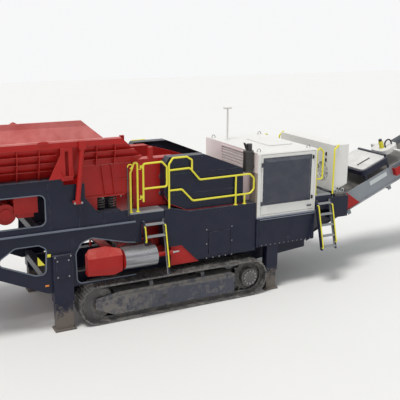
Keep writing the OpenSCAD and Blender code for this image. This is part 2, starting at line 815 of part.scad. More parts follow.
module feeder_drive() {
  under = pan_floor_z - 30;
  half_l = 350;
  half_w = 520;
  cover = 120;
  weight_z = under - 250;
  guard_x = drive_x + 210;
  guard_l = 460;
  color(machine_red) place() {
    box([drive_x - half_l, -half_w, under - 450], [drive_x + half_l, half_w, under]);
    both_sides() for (side = [-1, 1])
      cyl_y(drive_x + side * 180, -half_w - cover, -half_w, weight_z, 150);
    // Guard box with the motor on the near side
    box([guard_x, -half_w - 600, weight_z - 100], [guard_x + guard_l, -half_w - cover - 20, under - 10]);
    cyl_y(guard_x - 160, -half_w - 560, -half_w - cover, weight_z - 90, 205);
    cyl_y(guard_x - 160, -half_w - 585, -half_w - 560, weight_z - 90, 110);
    box([guard_x, -half_w - cover - 20, weight_z - 60], [guard_x + 260, -half_w - cover, weight_z + 60]);
    box([guard_x + 60, -half_w - 560, weight_z - 190], [guard_x + 380, -half_w - 200, weight_z - 100]);
  }
}

function spring_ring(i, steps, x, y, z) =
  let (a = 360 * spring_turns * i / steps, k = 6,
    rise = spring_wire_r + (spring_h - 2 * spring_wire_r) * i / steps)
  [for (j = [0 : k - 1]) let (b = 360 * j / k + 90, r = spring_r + spring_wire_r * cos(b))
    [x + r * cos(a), y + r * sin(a), z + rise + spring_wire_r * sin(b) * 0.98]];

module coil_spring(x, y, z) {
  k = 6;
  steps = spring_turns * 10;
  points = [for (i = [0 : steps]) each spring_ring(i, steps, x, y, z)];
  sides = [for (i = [0 : steps - 1], j = [0 : k - 1])
    [i * k + j, i * k + (j + 1) % k, (i + 1) * k + (j + 1) % k, (i + 1) * k + j]];
  polyhedron(points, concat([[for (j = [k - 1 : -1 : 0]) j]], sides, [[for (j = [0 : k - 1]) steps * k + j]]),
    convexity = 8);
}

module feeder_springs() {
  gap = spring_r + 45;
  color(steel) place() both_sides() for (x = [rear_spring_x, front_spring_x], side = [-1, 1])
    coil_spring(x + side * gap, -bracket_half + 110, spring_seat_z);
}

// Crusher
module crusher_body() {
  left = -850;
  right = 1250;
  color(machine_red) place() difference() {
    union() {
      both_sides() {
        plate_xz(-cheek_in - cheek_t, -cheek_in) polygon([
          [left, jaw_low_z + 20], [left, 3350], [120, 3350], [700, 3180], [right, 3000], [right, 1700],
          [700, 1170], [-350, 1170], [-500, 1300], [-520, jaw_low_z + 20]
        ]);
        // Feet on the long beams
        for (x = [-340, 500]) box([x, -beam_y - beam_t, beam_high_z], [x + 160, -cheek_in, 1330]);
        // Outer panel, top flange and bearing housing
        plate_xz(-body_out, -body_out + 20) polygon([
          [left, 2310], [left, 3350], [120, 3350], [300, 3100], [-100, 2310]
        ]);
        box([left, -body_out, 3330], [120, -cheek_in, 3350]);
        for (z = [1900, 2290]) box([left, -body_out + 60, z], [800, -cheek_in - cheek_t, z + 20]);
        // Chute side under the corner of the body panel
        plate_xz(-body_half + 25, -body_half + 40) polygon([
          [-130, panel_low_z - 50], [530, panel_low_z - 50], [530, panel_low_z], [corner_x, panel_low_z],
          [corner_top_x, corner_z], [-130, corner_z]
        ]);
        cyl_y(shaft_x, -body_out, -cheek_in - cheek_t, shaft_z, 260);
        box([-480, -body_out, 3350], [-390, -body_out + 90, 3590]);
      }
      // Front wall behind the fixed jaw, and rear wall
      box([left, -cheek_in, jaw_low_z + 20], [left + 130, cheek_in, 2780]);
      box([right - 100, -cheek_in, 1750], [right, cheek_in, 2950]);
      box([500, -cheek_in, 1250], [700, cheek_in, 1600]);
    }
    cyl_y(shaft_x, -1000, 1000, shaft_z, shaft_r + shaft_fit);
  }
}

module jaw_face(teeth) {
  // Ribbed jaw plate outline seen from above, ribs along one face
  pitch = 2 * (chamber_half - 5) / teeth;
  polygon(concat(
    [[0, -chamber_half + 5], [0, chamber_half - 5]],
    [for (i = [teeth : -1 : 1]) each [
      [jaw_t, -chamber_half + 5 + i * pitch], [jaw_t + 30, -chamber_half + 5 + (i - 0.5) * pitch]]],
    [[jaw_t, -chamber_half + 5]]
  ));
}

module jaw_plates() {
  top = shaft_z;
  low = jaw_low_z + 25;
  fixed_x = -850 + 130;
  swing_top_x = fixed_x + jaw_t + 30 + jaw_gape;
  swing_low_x = fixed_x + jaw_t + 30 + jaw_gap;
  lean = atan2(swing_top_x - swing_low_x, top - low);
  long = norm([swing_top_x - swing_low_x, top - low]);
  teeth = 12;
  color(steel) place() {
    translate([fixed_x, 0, low]) linear_extrude(top - low) jaw_face(teeth);
    // Swing jaw: pitman round the shaft, with its ribbed plate
    difference() {
      union() {
        cyl_y(shaft_x, -chamber_half, chamber_half, shaft_z, 225);
        translate([swing_low_x, 0, low]) rotate([0, lean, 0]) translate([jaw_t + 30, 0, 0])
          box([0, -chamber_half + 5, 0], [120, chamber_half - 5, long - 60]);
      }
      cyl_y(shaft_x, -1000, 1000, shaft_z, shaft_r + shaft_fit);
    }
    translate([swing_low_x, 0, low]) rotate([0, lean, 0]) translate([jaw_t + 30, 0, 0]) mirror([1, 0, 0])
      linear_extrude(long - 120) jaw_face(teeth);
  }
}

module flywheel_disc() {
  difference() {
    cyl_y(shaft_x, -fly_in - flywheel_w, -fly_in, shaft_z, flywheel_r);
    difference() {
      union() {
        cyl_y(shaft_x, -fly_in - flywheel_w - 1, -fly_in - flywheel_w + 50, shaft_z, flywheel_r - 90);
        cyl_y(shaft_x, -fly_in - 50, -fly_in + 1, shaft_z, flywheel_r - 90);
      }
      cyl_y(shaft_x, -fly_in - flywheel_w - 2, -fly_in + 2, shaft_z, 180);
    }
    for (i = [0 : 5]) translate([shaft_x, 0, shaft_z]) rotate([0, i * 60, 0])
      cyl_y(330, -fly_in - flywheel_w - 1, -fly_in + 1, 0, 85);
  }
}

module flywheel_near() {
  color(navy) place() {
    flywheel_disc();
    cyl_y(shaft_x, -fly_in - flywheel_w - 20, fly_in, shaft_z, shaft_r);
  }
}

module flywheel_far() {
  color(navy) place() mirror([0, 1, 0]) {
    flywheel_disc();
    cyl_y(shaft_x, -fly_in - flywheel_w - 20, -fly_in - flywheel_w, shaft_z, shaft_r);
  }
}

module guard_outline() {
  polygon([
    [-230, 3230], [-120, 3390], [720, 3390], [1690, 3000], [1700, 2195], [300, 2195], [-120, 2380], [-230, 2560]
  ]);
}

module flywheel_guard(is_far) {
  color(navy) place() far_side(is_far) {
    difference() {
      plate_xz(-1150, -body_out) guard_outline();
      plate_xz(-1134, -body_out + 1) offset(delta = -16) guard_outline();
    }
    // Folds across the outer face
    intersection() {
      plate_xz(-1157, -1149) guard_outline();
      for (z = [2560, 3010]) box([-400, -1160, z], [1800, -1140, z + 12]);
    }
  }
}

// Body panels
module body_panel(is_far) {
  front = -body_half;
  back = -body_half + panel_depth;
  color(navy) place() far_side(is_far) {
    difference() {
      plate_xz(front, back) polygon([
        [-280, corner_z], [corner_top_x, corner_z], [corner_x, panel_low_z],
        [panel_end_x, panel_low_z], [panel_end_x, panel_top_z],
        [330, panel_top_z], [-100, 2290], [-280, 2290]
      ]);
      box([770, front - 1, 1100], [1340, front + 12, 1660]);
    }
    box([785, front - 2, 1115], [1325, front + 12, 1645]);
  }
}

// Canopy
module canopy_base() {
  tank_in = 660;
  left = canopy_x;
  right = canopy_x + canopy_l;
  sleeve_low = front_leg_x - front_sleeve_l / 2;
  color(navy) place() {
    both_sides() difference() {
      box([left, -canopy_half - 10, base_low_z], [right, -tank_in, canopy_low_z - 30]);
      box([sleeve_low, -front_sleeve_out, 0],
        [sleeve_low + front_sleeve_l, -front_sleeve_out + front_sleeve_w, front_sleeve_top]);
    }
    box([left - 5, -canopy_half - 30, canopy_low_z - 30], [right + 10, canopy_half + 30, canopy_low_z]);
    // Lower step, end strip and filler cap
    both_sides() {
      box([left + 70, -canopy_half - 24, canopy_low_z - 72], [right, -canopy_half - 10, canopy_low_z - 52]);
      box([left + 70, -canopy_half - 20, base_low_z], [left + 84, -canopy_half - 10, canopy_low_z - 72]);
      cyl_y(2880, -canopy_half - 36, -canopy_half - 10, 1230, 42);
      cyl_y(2880, -canopy_half - 18, -canopy_half - 10, 1230, 62);
    }
  }
}

module canopy() {
  right = canopy_x + canopy_l;
  wall = 30;
  color(canopy_white) place() {
    difference() {
      bar_yz(canopy_x, right) polygon(concat(
        [[-canopy_half, canopy_low_z], [canopy_half, canopy_low_z]],
        drum_arc([canopy_half - roof_r, roof_z - roof_r], 0, 90, roof_r, 6),
        drum_arc([-canopy_half + roof_r, roof_z - roof_r], 90, 180, roof_r, 6)
      ));
      box([canopy_x + wall, -canopy_half + door_t + wall, canopy_low_z - 1],
        [right - wall, canopy_half - wall, roof_z - wall]);
      // Opening of the near door, and the outline of the closed far door
      box([door_x - door_gap, -canopy_half - 1, door_low_z - door_gap],
        [door_x + door_l + door_gap, -canopy_half + door_t + wall + 1, door_high_z + door_gap]);
      difference() {
        box([door_x - door_gap, canopy_half - 10, door_low_z - door_gap],
          [door_x + door_l + door_gap, canopy_half + 1, door_high_z + door_gap]);
        box([door_x, canopy_half - 11, door_low_z], [door_x + door_l, canopy_half + 2, door_high_z]);
      }
      // Louvres towards the hopper
      for (z = [2860 : 70 : 3210]) box([canopy_x - 1, -640, z], [canopy_x + 20, 420, z + 35]);
    }
    // Hinge pins of the near door
    for (z = hinge_rows) {
      translate([door_x, -canopy_half - 14, z - 60]) cylinder(h = 120, r = 8);
      translate([door_x, -canopy_half - 14, z - 70]) cylinder(h = 10, r = 12);
      box([door_x - 60, -canopy_half - 20, z - 70], [door_x, -canopy_half, z - 60]);
    }
    // Mast on the roof
    translate([canopy_x + 300, 700, roof_z]) {
      cylinder(h = mast_h, r = 22);
      cylinder(h = 12, r = 80);
      cyl_x(-110, 110, 0, mast_h - 10, 24);
    }
  }
}

module canopy_door() {
  color(canopy_white) place() {
    box([door_x, -canopy_half, door_low_z], [door_x + door_l, -canopy_half + door_t, door_high_z]);
    // Raised dark panel with bevelled edges on a flat border
    left = door_x + 40;
    right = door_x + door_l - 90;
    low = door_low_z + 220;
    high = door_high_z - 70;
    front = -canopy_half - 55;
    border = -canopy_half - 6;
    box([left, border, low], [right, -canopy_half, high]);
    intersection() {
      bar_yz(left, right) polygon([
        [-canopy_half, low + 25], [border, low + 25], [front, low + bevel_w], [front, high - bevel_w],
        [border, high - 25], [-canopy_half, high - 25]
      ]);
      translate([0, 0, low]) linear_extrude(high - low) polygon([
        [left + 25, -canopy_half], [left + 25, border], [left + bevel_w, front], [right - bevel_w, front],
        [right - 25, border], [right - 25, -canopy_half]
      ]);
    }
    // Knuckles on the hinge pins
    for (z = hinge_rows) difference() {
      union() {
        translate([door_x, -canopy_half - 14, z - 55]) cylinder(h = 100, r = 14);
        box([door_x, -canopy_half - 22, z - 55], [door_x + 28, -canopy_half, z + 45]);
      }
      translate([door_x, -canopy_half - 14, z - 60]) cylinder(h = 120, r = 8.05);
    }
    // Handle bar
    box([door_x + door_l - 180, -canopy_half - 30, 1960], [door_x + door_l - 60, -canopy_half, 1985]);
  }
}

module engine() {
  left = canopy_x + 250;
  long = 1000;
  skid_half = 650;
  skid_top = canopy_low_z + 270;
  block_half = 420;
  block_h = 600;
  filter_h = 420;
  color(steel) place() {
    box([left, -skid_half, canopy_low_z], [left + long, skid_half, skid_top]);
    box([left + 100, -block_half, skid_top], [left + long - 150, block_half, skid_top + block_h]);
    cyl_x(left + 150, left + long - 250, 0, skid_top + block_h + 80, 160);
    // Radiator at the front end
    box([left + long, -skid_half + 90, canopy_low_z],
      [left + long + 150, skid_half - 90, skid_top + block_h + 100]);
    for (x = [350, long - 350])
      translate([left + x, -skid_half + 90, skid_top]) cylinder(h = filter_h, r = 110);
  }
}

module exhaust() {
  x = canopy_x - 130;
  y = -1060;
  pipe_r = 66;
  drum_top = roof_z + 50;
  color(rubber_black) place() {
    translate([x, y, drum_top - 490]) cylinder(h = 490, r = 118);
    translate([x + 20, y, drum_top]) cylinder(h = 150, r = pipe_r);
    box([x + 90, y - 60, drum_top - 400], [canopy_x, y + 60, drum_top - 340]);
    // Open rain flap on the left of the pipe
    translate([x + 22 - pipe_r, y - 50, drum_top + 20]) rotate([0, -20, 0])
      translate([-8, 0, 0]) cube([8, 100, 170]);
  }
}

// Platforms and ladders
module platforms() {
  color(pale_grey) place() {
    both_sides() {
      box([deck_x, -body_half, deck_z - 30], [-295, -body_out - 5, deck_z]);
      box([plate_end_x + 5, -body_half, 2050], [-295, -body_half + 12, deck_z - 30]);
      box([plate_end_x + 5, -body_half, 1650], [-810, -body_half + 12, 2050]);
      for (x = [plate_end_x + 5, -310])
        box([x, -body_half + 12, 2180], [x + 15, -body_out - 5, deck_z - 30]);
      box([service_x + 10, -body_half, canopy_low_z - 30], [service_x + service_l, -760, service_z - 30]);
      // Valve box under the cooler, and the seat of the cooler
      box([service_x + service_l, -body_half + 10, 1550], [cooler_x + cooler_l, -760, valve_z]);
      box([service_x + service_l + 5, -1100, valve_z], [cooler_x + cooler_flat, -800, cooler_low_z]);
    }
    box([service_x + 2, -body_half, service_z - 30], [service_x + service_l, body_half, service_z]);
  }
}

// A leaning ladder; the left stringer may stop higher than the right one
module ladder(x_low, x_high, y_top, y_foot, z_top, z_foot, z_left, first) {
  depth = 60;
  slope = (y_top - y_foot) / (z_top - z_foot);
  for (side = [0, 1]) {
    x = side == 0 ? x_low : x_high - 40;
    z_end = side == 0 ? z_left : z_foot;
    y_end = y_top - (z_top - z_end) * slope;
    bar_yz(x, x + 40) polygon([
      [y_top - depth, z_top], [y_top, z_top], [y_top, z_top - 50], [y_end, z_end], [y_end - depth, z_end]
    ]);
  }
  for (z = [first : -rung_pitch : z_left + 20]) {
    y = y_top - (z_top - z) * slope;
    box([x_low + 40, y - 110, z - 25], [x_high - 40, y, z]);
  }
  // Grab tubes on the outer edges
  grab_d = 30;
  high = z_top - 110;
  for (side = [0, 1]) {
    low = side == 0 ? z_left + 60 : z_foot + 160;
    edge_high = y_top - (z_top - high) * slope - depth + 8;
    edge_low = y_top - (z_top - low) * slope - depth + 8;
    translate([side == 0 ? x_low + 20 : x_high - 20, 0, 0]) rotate([90, 0, 90])
      bent_tube([[edge_high, high], [edge_high - 60, high + 12], [edge_low - 60, low - 12], [edge_low, low]],
        grab_d, 30);
  }
}

module ladders() {
  color(pale_grey) place() both_sides() {
    ladder(-800, -300, -body_half, -body_half - 250, 2100, 950, near_drum_z + near_drum_r + 40, 2040);
    ladder(service_x + 20, service_x + service_l - 20, -body_half, -body_half - 310, 2050, 900, 900, 1990);
  }
}

// Handrails
module handrails() {
  color(rail_yellow) place() both_sides() {
    rail([[-1020, deck_z], [-1020, 3140], [-930, 3370], [-865, 3330], [-865, deck_z]], -rail_y, 40);
    rail([[-150, 2290], [-150, 3250]], -rail_y);
    rail([[-150, 3120], [340, 3130], [580, 2850], [1840, 2860], [1950, 2750], [1950, 2500], [1850, 2410],
      [410, 2400], [150, 2680], [-150, 2680]], -rail_y);
    rail([[-150, 3120], [-150, 3250], [-60, 3380], [270, 3380], [390, 3300], [390, 3060]], -rail_y, 50);
    for (x = [1480, 1710]) rail([[x, panel_top_z], [x, x > 1600 ? 2410 : 2855]], -rail_y);
    rail([[service_x + 60, service_z], [service_x + 60, 3250], [service_x + 150, 3300], [service_x + 240, 3200],
      [service_x + 240, 2560], [service_x + 60, 2560]], -rail_y, 40);
    rail([[cooler_x - 20, service_z - 30], [cooler_x - 20, 3230], [cooler_x + 100, 3340]], -rail_y, 60);
    cyl_y(cooler_x + 90, -rail_y, -cooler_half, 3290, rail_d / 2 - 3);
    // Pins of the gate
    for (z = gate_rows) {
      box([-865, -rail_y - 8, z - 22], [gate_hinge_x + 9, -rail_y + 8, z - 10]);
      translate([gate_hinge_x, -rail_y, z - 12]) cylinder(h = 82, r = 9);
    }
  }
}

module gate() {
  color(rail_yellow) place() {
    rail([[-735, 2500], [-735, 3310], [-310, 3320], [-200, 3200], [-200, 2780], [-735, 2780]], -rail_y, 50);
    for (z = gate_rows) difference() {
      union() {
        translate([gate_hinge_x, -rail_y, z]) cylinder(h = 60, r = 16);
        box([gate_hinge_x, -rail_y - 6, z], [-740, -rail_y + 6, z + 60]);
      }
      translate([gate_hinge_x, -rail_y, z - 1]) cylinder(h = 62, r = 9.05);
    }
  }
}

// Cooler box
module cooler_box() {
  low = cooler_low_z;
  right = cooler_x + cooler_l;
  color(canopy_white) place() {
    difference() {
      plate_xz(-cooler_half, cooler_half) polygon([
        [cooler_x, low], [cooler_x + cooler_flat, low], [right, low + (cooler_l - cooler_flat) * rise_dz],
        [right, roof_z], [cooler_x, roof_z]
      ]);
      for (y = [-fan_y, fan_y]) cyl_x(cooler_x - 1, cooler_x + 60, y, fan_z, fan_r);
      // Hollow inside, open below
      box([cooler_x + 90, 240 - cooler_half, low - 1], [right - 30, cooler_half - 240, roof_z - 30]);
    }
    // Fan hubs with their blades
    for (y = [-fan_y, fan_y]) {
      cyl_x(cooler_x + 20, cooler_x + 60, y, fan_z, 80);
      for (i = [0 : 7]) translate([cooler_x + 36, y, fan_z]) rotate([i * 45, 0, 0])
        box([0, -28, 60], [10, 28, fan_r - 12]);
    }
  }
}

// Main conveyor
function drum_arc(centre, from, to, r, n) =
  [for (i = [0 : n]) let (a = from + (to - from) * i / n) [centre[0] + r * cos(a), centre[1] + r * sin(a)]];

module belt_outline(r) {
  k = tan(conveyor_rise / 2) * r;
  polygon(concat(
    drum_arc([tail_x, tail_z], 270, 90, r, 24),
    [[kink_x - k, tail_z + r]],
    drum_arc([head_x, head_z], 90 + conveyor_rise, conveyor_rise - 90, r, 24),
    [[kink_x + k, tail_z - r]]
  ));
}

module conveyor_belt() {
  color(rubber_black) place() plate_xz(-belt_half, belt_half) difference() {
    belt_outline(drum_r + belt_t);
    belt_outline(drum_r);
  }
}

module conveyor_drums() {
  side = conveyor_half - frame_t;
  color(steel) place() {
    for (spot = [[tail_x, tail_z], [head_x, head_z]]) {
      cyl_y(spot[0], -belt_half, belt_half, spot[1], drum_r - eps);
      cyl_y(spot[0], -side, side, spot[1], 45);
    }
    // Idler rollers just below the top run
    for (x = [400 : 800 : kink_x - 200]) {
      cyl_y(x, -belt_half, belt_half, tail_z + drum_r - 55 - eps, 55);
      cyl_y(x, -side, side, tail_z + drum_r - 55 - eps, 20);
    }
    for (s = [500 : 900 : rise_l - 400]) {
      x = kink_x + s * cos(conveyor_rise) - (drum_r - 55 - eps) * sin(conveyor_rise);
      z = tail_z + s * sin(conveyor_rise) + (drum_r - 55 - eps) * cos(conveyor_rise);
      cyl_y(x, -belt_half, belt_half, z, 55);
      cyl_y(x, -side, side, z, 20);
    }
  }
}

module conveyor_side_outline() {
  low = tail_z - 150;
  high = tail_z + 150;
  end_x = head_x - 40;
  polygon([
    [tail_x - 120, low], [kink_x, low], [end_x, low + (end_x - kink_x) * rise_dz],
    [end_x + 80, head_z + 60], [end_x - 60, low + (end_x - 60 - kink_x) * rise_dz + conveyor_h],
    [kink_x + 900, low + 900 * rise_dz + conveyor_h], [kink_x + 300, high + 300 * rise_dz],
    [kink_x, high], [tail_x - 120, high]
  ]);
}

module conveyor_frame() {
  color(pale_grey) place() {
    both_sides() {
      plate_xz(-conveyor_half, -conveyor_half + frame_t) conveyor_side_outline();
      // Hangers to the long beams
      for (x = [100, 1400, 2600])
        box([x - 60, -beam_y, tail_z - 40], [x + 60, -conveyor_half, tail_z + 40]);
    }
    // Outward flange along the lower edge of the rise
    both_sides() on_rise(0, 0)
      box([120, -conveyor_half - flange_w, -low_h], [rise_l - 100, -conveyor_half, -low_h + flange_t]);
    // Cross tubes under the belt
    under = -drum_r - belt_t - 60;
    for (s = [900 : 1400 : rise_l - 600]) on_rise(s, 0) {
      cyl_y(0, -conveyor_half, conveyor_half, under, 38);
      both_sides() box([-50, -conveyor_half, under - 45], [50, -conveyor_half + frame_t, -120]);
    }
  }
}

// Red side covers where the conveyor leaves the machine, and guards further up
module conveyor_guards() {
  cover_t = 12;
  start = cover_x - kink_x;
  stop = cover_x + cover_l - kink_x;
  gap = 20;
  color(machine_red) place() both_sides() {
    plate_xz(-conveyor_half - cover_t, -conveyor_half) translate([kink_x, tail_z - 150]) polygon([
      [start, start * rise_dz + gap], [stop + 430, (stop + 430) * rise_dz + gap],
      [stop, stop * rise_dz + conveyor_h], [start, start * rise_dz + conveyor_h]
    ]);
    on_rise(0, 0) difference() {
      box([3920, -conveyor_half - 130, 40], [4620, -conveyor_half, 380]);
      box([3910, -conveyor_half - 131, 260], [4630, -conveyor_half + 1, 400]);
      box([3932, -conveyor_half - 118, 39], [4608, -conveyor_half + 1, 368]);
    }
  }
}

module on_rise(s, h) {
  translate([kink_x, 0, tail_z]) rotate([0, -conveyor_rise, 0]) translate([s, 0, h]) children();
}

module magnet() {
  nose_r = 150;
  cover_h = 30;
  pulley_r = 70;
  house_s = magnet_l + 110;
  house_l = 560;
  house_half = 300;
  color(navy) place() on_rise(magnet_s, magnet_clear) {
    // Frame with rounded ends, and the pale cover on it
    linear_extrude(magnet_h) rounded([
      [0, -magnet_half], [magnet_l, -magnet_half], [magnet_l, magnet_half], [0, magnet_half]
    ], nose_r);
    translate([0, 0, magnet_h]) linear_extrude(cover_h) rounded([
      [50, -magnet_half + 50], [magnet_l - 70, -magnet_half + 50], [magnet_l - 70, magnet_half - 50],
      [50, magnet_half - 50]
    ], nose_r - 50);
    // Slot bar and cross bar
    box([180, -260, magnet_h + cover_h], [600, -225, magnet_h + cover_h + 16]);
    box([magnet_l - 60, -magnet_half + 100, magnet_h], [magnet_l - 10, magnet_half - 100, magnet_h + 60]);
    // Magnet block and the belt pulleys below the frame
    box([150, -400, -90], [magnet_l - 150, 400, 0]);
    for (y = [-magnet_half + 110, magnet_half - 110])
      translate([90, y, -20]) rotate([0, 90, 0]) cylinder(h = magnet_l - 180, r = pulley_r);
    // Drive housing with its motor and pipe
    box([magnet_l - 20, -60, 20], [house_s + 20, 60, 90]);
    translate([house_s, 0, 0]) linear_extrude(magnet_h) rounded([
      [0, -house_half], [house_l, -house_half], [house_l, house_half], [0, house_half]
    ], 180);
    translate([house_s + 190, -40, magnet_h]) cylinder(h = 190, r = 60);
    translate([house_s + 190, -40, magnet_h + 190]) cylinder(h = 60, r = 46);
    translate([house_s + 350, -120, magnet_h + 60]) rotate([90, 0, 0]) rotate_extrude(angle = 180)
      translate([110, 0]) circle(r = 20);
    for (x = [-110, 110]) translate([house_s + 350 + x, -120, magnet_h - 1]) cylinder(h = 65, r = 21);
    // Carriers down to the conveyor side plates
    for (s = [60, magnet_l - 120, house_s + house_l - 220], y = [-1, 1])
      box([s, y * (conveyor_half - 8) - 8, (conveyor_h - 150) * cos(conveyor_rise) - magnet_clear],
        [s + 60, y * (conveyor_half - 8) + 8, 0]);
    for (y = [-1, 1]) box([house_s + house_l - 220, y > 0 ? house_half - 20 : -conveyor_half, 0],
      [house_s + house_l - 160, y > 0 ? conveyor_half : -house_half + 20, 50]);
  }
}

// Side conveyor
module side_conveyor() {
  x_low = side_belt_x;
  x_high = side_belt_x + side_belt_w;
  far_y = near_drum_y - 160;
  deep = 110;
  color(machine_red) place() {
    // Side frames with posts on the long beams
    for (x = [x_low - 30, x_high + 15]) {
      bar_yz(x, x + 15) polygon([
        [-near_drum_y - 60, near_drum_z - deep], [-near_drum_y - 60, near_drum_z + deep],
        [far_y + 60, near_drum_z - 20 + deep], [far_y + 60, near_drum_z - 20 - deep]
      ]);
      for (y = [-beam_y - beam_t, beam_y])
        box([x - 5, y, beam_step_z], [x + 20, y + beam_t, near_drum_z - deep - 15]);
    }
    cyl_x(x_low, x_high, -near_drum_y, near_drum_z, near_drum_r - 1);
    cyl_x(x_low - 15, x_high + 15, -near_drum_y, near_drum_z, 60);
    cyl_x(x_low, x_high, far_y, near_drum_z - 20, near_drum_r - 41);
    cyl_x(x_low - 15, x_high + 15, far_y, near_drum_z - 20, 50);
    // Faceted drive guard
    guard_x = -2070;
    guard_y = -near_drum_y - 90;
    intersection() {
      bar_yz(guard_x, x_low - 30) polygon([
        [guard_y + 200, 1680], [guard_y, 1510], [guard_y, 1270], [guard_y + 70, 1080], [guard_y + 200, 1080]
      ]);
      plate_xz(guard_y, guard_y + 200) polygon([
        [guard_x, 1140], [guard_x, 1560], [guard_x + 80, 1660], [-1640, 1680], [x_low - 30, 1600],
        [x_low - 30, 1150], [-1500, 1080]
      ]);
    }
    // Bent cover over the belt, inside of the side plate
    cover_low = near_drum_z + deep - 10;
    plate_xz(-body_half + plate_t + 5, -body_half + plate_t + 110) polygon([
      [x_low - 30, cover_low], [x_low - 30, 1625], [-1000, 1720], [x_high + 20, 1700], [x_high + 30, cover_low],
      [x_high + 15, cover_low], [x_high + 5, 1685], [-1000, 1700], [x_low - 15, 1610], [x_low - 15, cover_low]
    ]);
    // Motor and bracket at the other end
    cyl_x(x_high + 30, x_high + 440, -near_drum_y + 75, near_drum_z - 40, 52);
    box([x_high + 30, -near_drum_y - 60, near_drum_z - 160], [x_high + 50, -near_drum_y + 200, near_drum_z + 100]);
  }
}

module side_belt_outline(over) {
  near = [-near_drum_y, near_drum_z];
  far = [near_drum_y - 160, near_drum_z - 20];
  near_r = near_drum_r + over;
  far_r = near_drum_r - 40 + over;
  way = heading(near, far);
  spread = acos((near_r - far_r) / norm(far - near));
  polygon(concat(
    drum_arc(near, way + spread, way + 360 - spread, near_r, 28),
    drum_arc(far, way - spread, way + spread, far_r, 28)
  ));
}

module side_belt() {
  color(rubber_black) place() bar_yz(side_belt_x, side_belt_x + side_belt_w) difference() {
    side_belt_outline(belt_t);
    side_belt_outline(0);
  }
}

track_chain(false);  // track_chain_near
track_chain(true);  // track_chain_far
track_frame(false);  // track_frame_near
track_frame(true);  // track_frame_far
track_wheels(false);  // track_wheels_near
track_wheels(true);  // track_wheels_far
main_frame();
side_plate(false);  // side_plate_near
side_plate(true);  // side_plate_far
leg_sleeves();
leg_rear(false);  // leg_rear_near
leg_rear(true);  // leg_rear_far
leg_front(false);  // leg_front_near
leg_front(true);  // leg_front_far
hopper_side(false);  // hopper_side_near
hopper_side(true);  // hopper_side_far
hopper_rear();
hopper_struts();
feeder_pan();
feeder_drive();
feeder_springs();
crusher_body();
jaw_plates();
flywheel_near();
flywheel_far();
flywheel_guard(false);  // flywheel_guard_near
flywheel_guard(true);  // flywheel_guard_far
body_panel(false);  // body_panel_near
body_panel(true);  // body_panel_far
canopy_base();
canopy();
canopy_door();
engine();
exhaust();
platforms();
ladders();
handrails();
gate();
cooler_box();
conveyor_frame();
conveyor_guards();
conveyor_belt();
conveyor_drums();
magnet();
side_conveyor();
side_belt();
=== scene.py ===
import math
import bmesh
import bpy
from mathutils import Matrix, Vector


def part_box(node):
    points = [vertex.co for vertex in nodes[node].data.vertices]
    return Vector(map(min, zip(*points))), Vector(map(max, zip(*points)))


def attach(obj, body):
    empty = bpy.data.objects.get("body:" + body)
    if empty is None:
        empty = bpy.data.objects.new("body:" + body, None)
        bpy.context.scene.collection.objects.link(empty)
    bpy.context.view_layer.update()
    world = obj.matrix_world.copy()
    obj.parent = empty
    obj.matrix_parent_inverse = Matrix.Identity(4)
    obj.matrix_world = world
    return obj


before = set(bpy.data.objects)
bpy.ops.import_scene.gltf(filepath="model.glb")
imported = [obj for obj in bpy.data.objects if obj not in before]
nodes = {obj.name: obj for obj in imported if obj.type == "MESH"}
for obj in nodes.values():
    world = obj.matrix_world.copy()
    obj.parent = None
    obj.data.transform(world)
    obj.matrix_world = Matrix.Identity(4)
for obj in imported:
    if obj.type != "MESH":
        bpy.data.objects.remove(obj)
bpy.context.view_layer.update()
middle = -1.517  # X of the middle of the tracks in this frame


def across(x):  # X measured from the middle of the tracks
    return x + middle


# Camera at the photo's viewing angle
cameraValues = {
    "place": (across(-5.89), -14.05, 6.12),
    "yaw": 26.99,
    "pitch": 14.52,
    "roll": 0.34,
    "lens": 61.26,
    "shiftX": -0.007,
}
cameraData = bpy.data.cameras.new("photoCamera")
camera = bpy.data.objects.new("photoCamera", cameraData)
bpy.context.scene.collection.objects.link(camera)
turn = (
    Matrix.Rotation(math.radians(-cameraValues["yaw"]), 4, "Z")
    @ Matrix.Rotation(math.radians(90 - cameraValues["pitch"]), 4, "X")
    @ Matrix.Rotation(math.radians(cameraValues["roll"]), 4, "Z")
)
camera.matrix_world = Matrix.Translation(cameraValues["place"]) @ turn
cameraData.lens = cameraValues["lens"]
cameraData.sensor_width = 36
cameraData.shift_x = cameraValues["shiftX"]
cameraData.clip_end = 300
bpy.context.scene.camera = camera
bpy.context.scene.view_settings.view_transform = "Standard"

# Soft daylight, and a pale floor
lightValues = {"sky": 0.62, "sun": 2.3, "sunSoft": 18, "sunFrom": (-0.45, -0.25, 1.2)}
world = bpy.data.worlds.new("paleStudio")
bpy.context.scene.world = world
world.use_nodes = True
skyTree = world.node_tree
skyTree.nodes.clear()
skyOut = skyTree.nodes.new("ShaderNodeOutputWorld")
skyLight = skyTree.nodes.new("ShaderNodeBackground")
skyLight.inputs["Color"].default_value = (0.97, 0.985, 1.0, 1)
skyLight.inputs["Strength"].default_value = lightValues["sky"]
skyBack = skyTree.nodes.new("ShaderNodeBackground")
skyBack.inputs["Color"].default_value = (0.93, 0.935, 0.94, 1)
skyBack.inputs["Strength"].default_value = 1.0
skyMix = skyTree.nodes.new("ShaderNodeMixShader")
skyPath = skyTree.nodes.new("ShaderNodeLightPath")
seen = skyPath.outputs["Is Camera Ray"]
for ray in ("Is Glossy Ray", "Is Transmission Ray"):
    either = skyTree.nodes.new("ShaderNodeMath")
    either.operation = "MAXIMUM"
    skyTree.links.new(seen, either.inputs[0])
    skyTree.links.new(skyPath.outputs[ray], either.inputs[1])
    seen = either.outputs[0]
skyTree.links.new(seen, skyMix.inputs["Fac"])
skyTree.links.new(skyLight.outputs[0], skyMix.inputs[1])
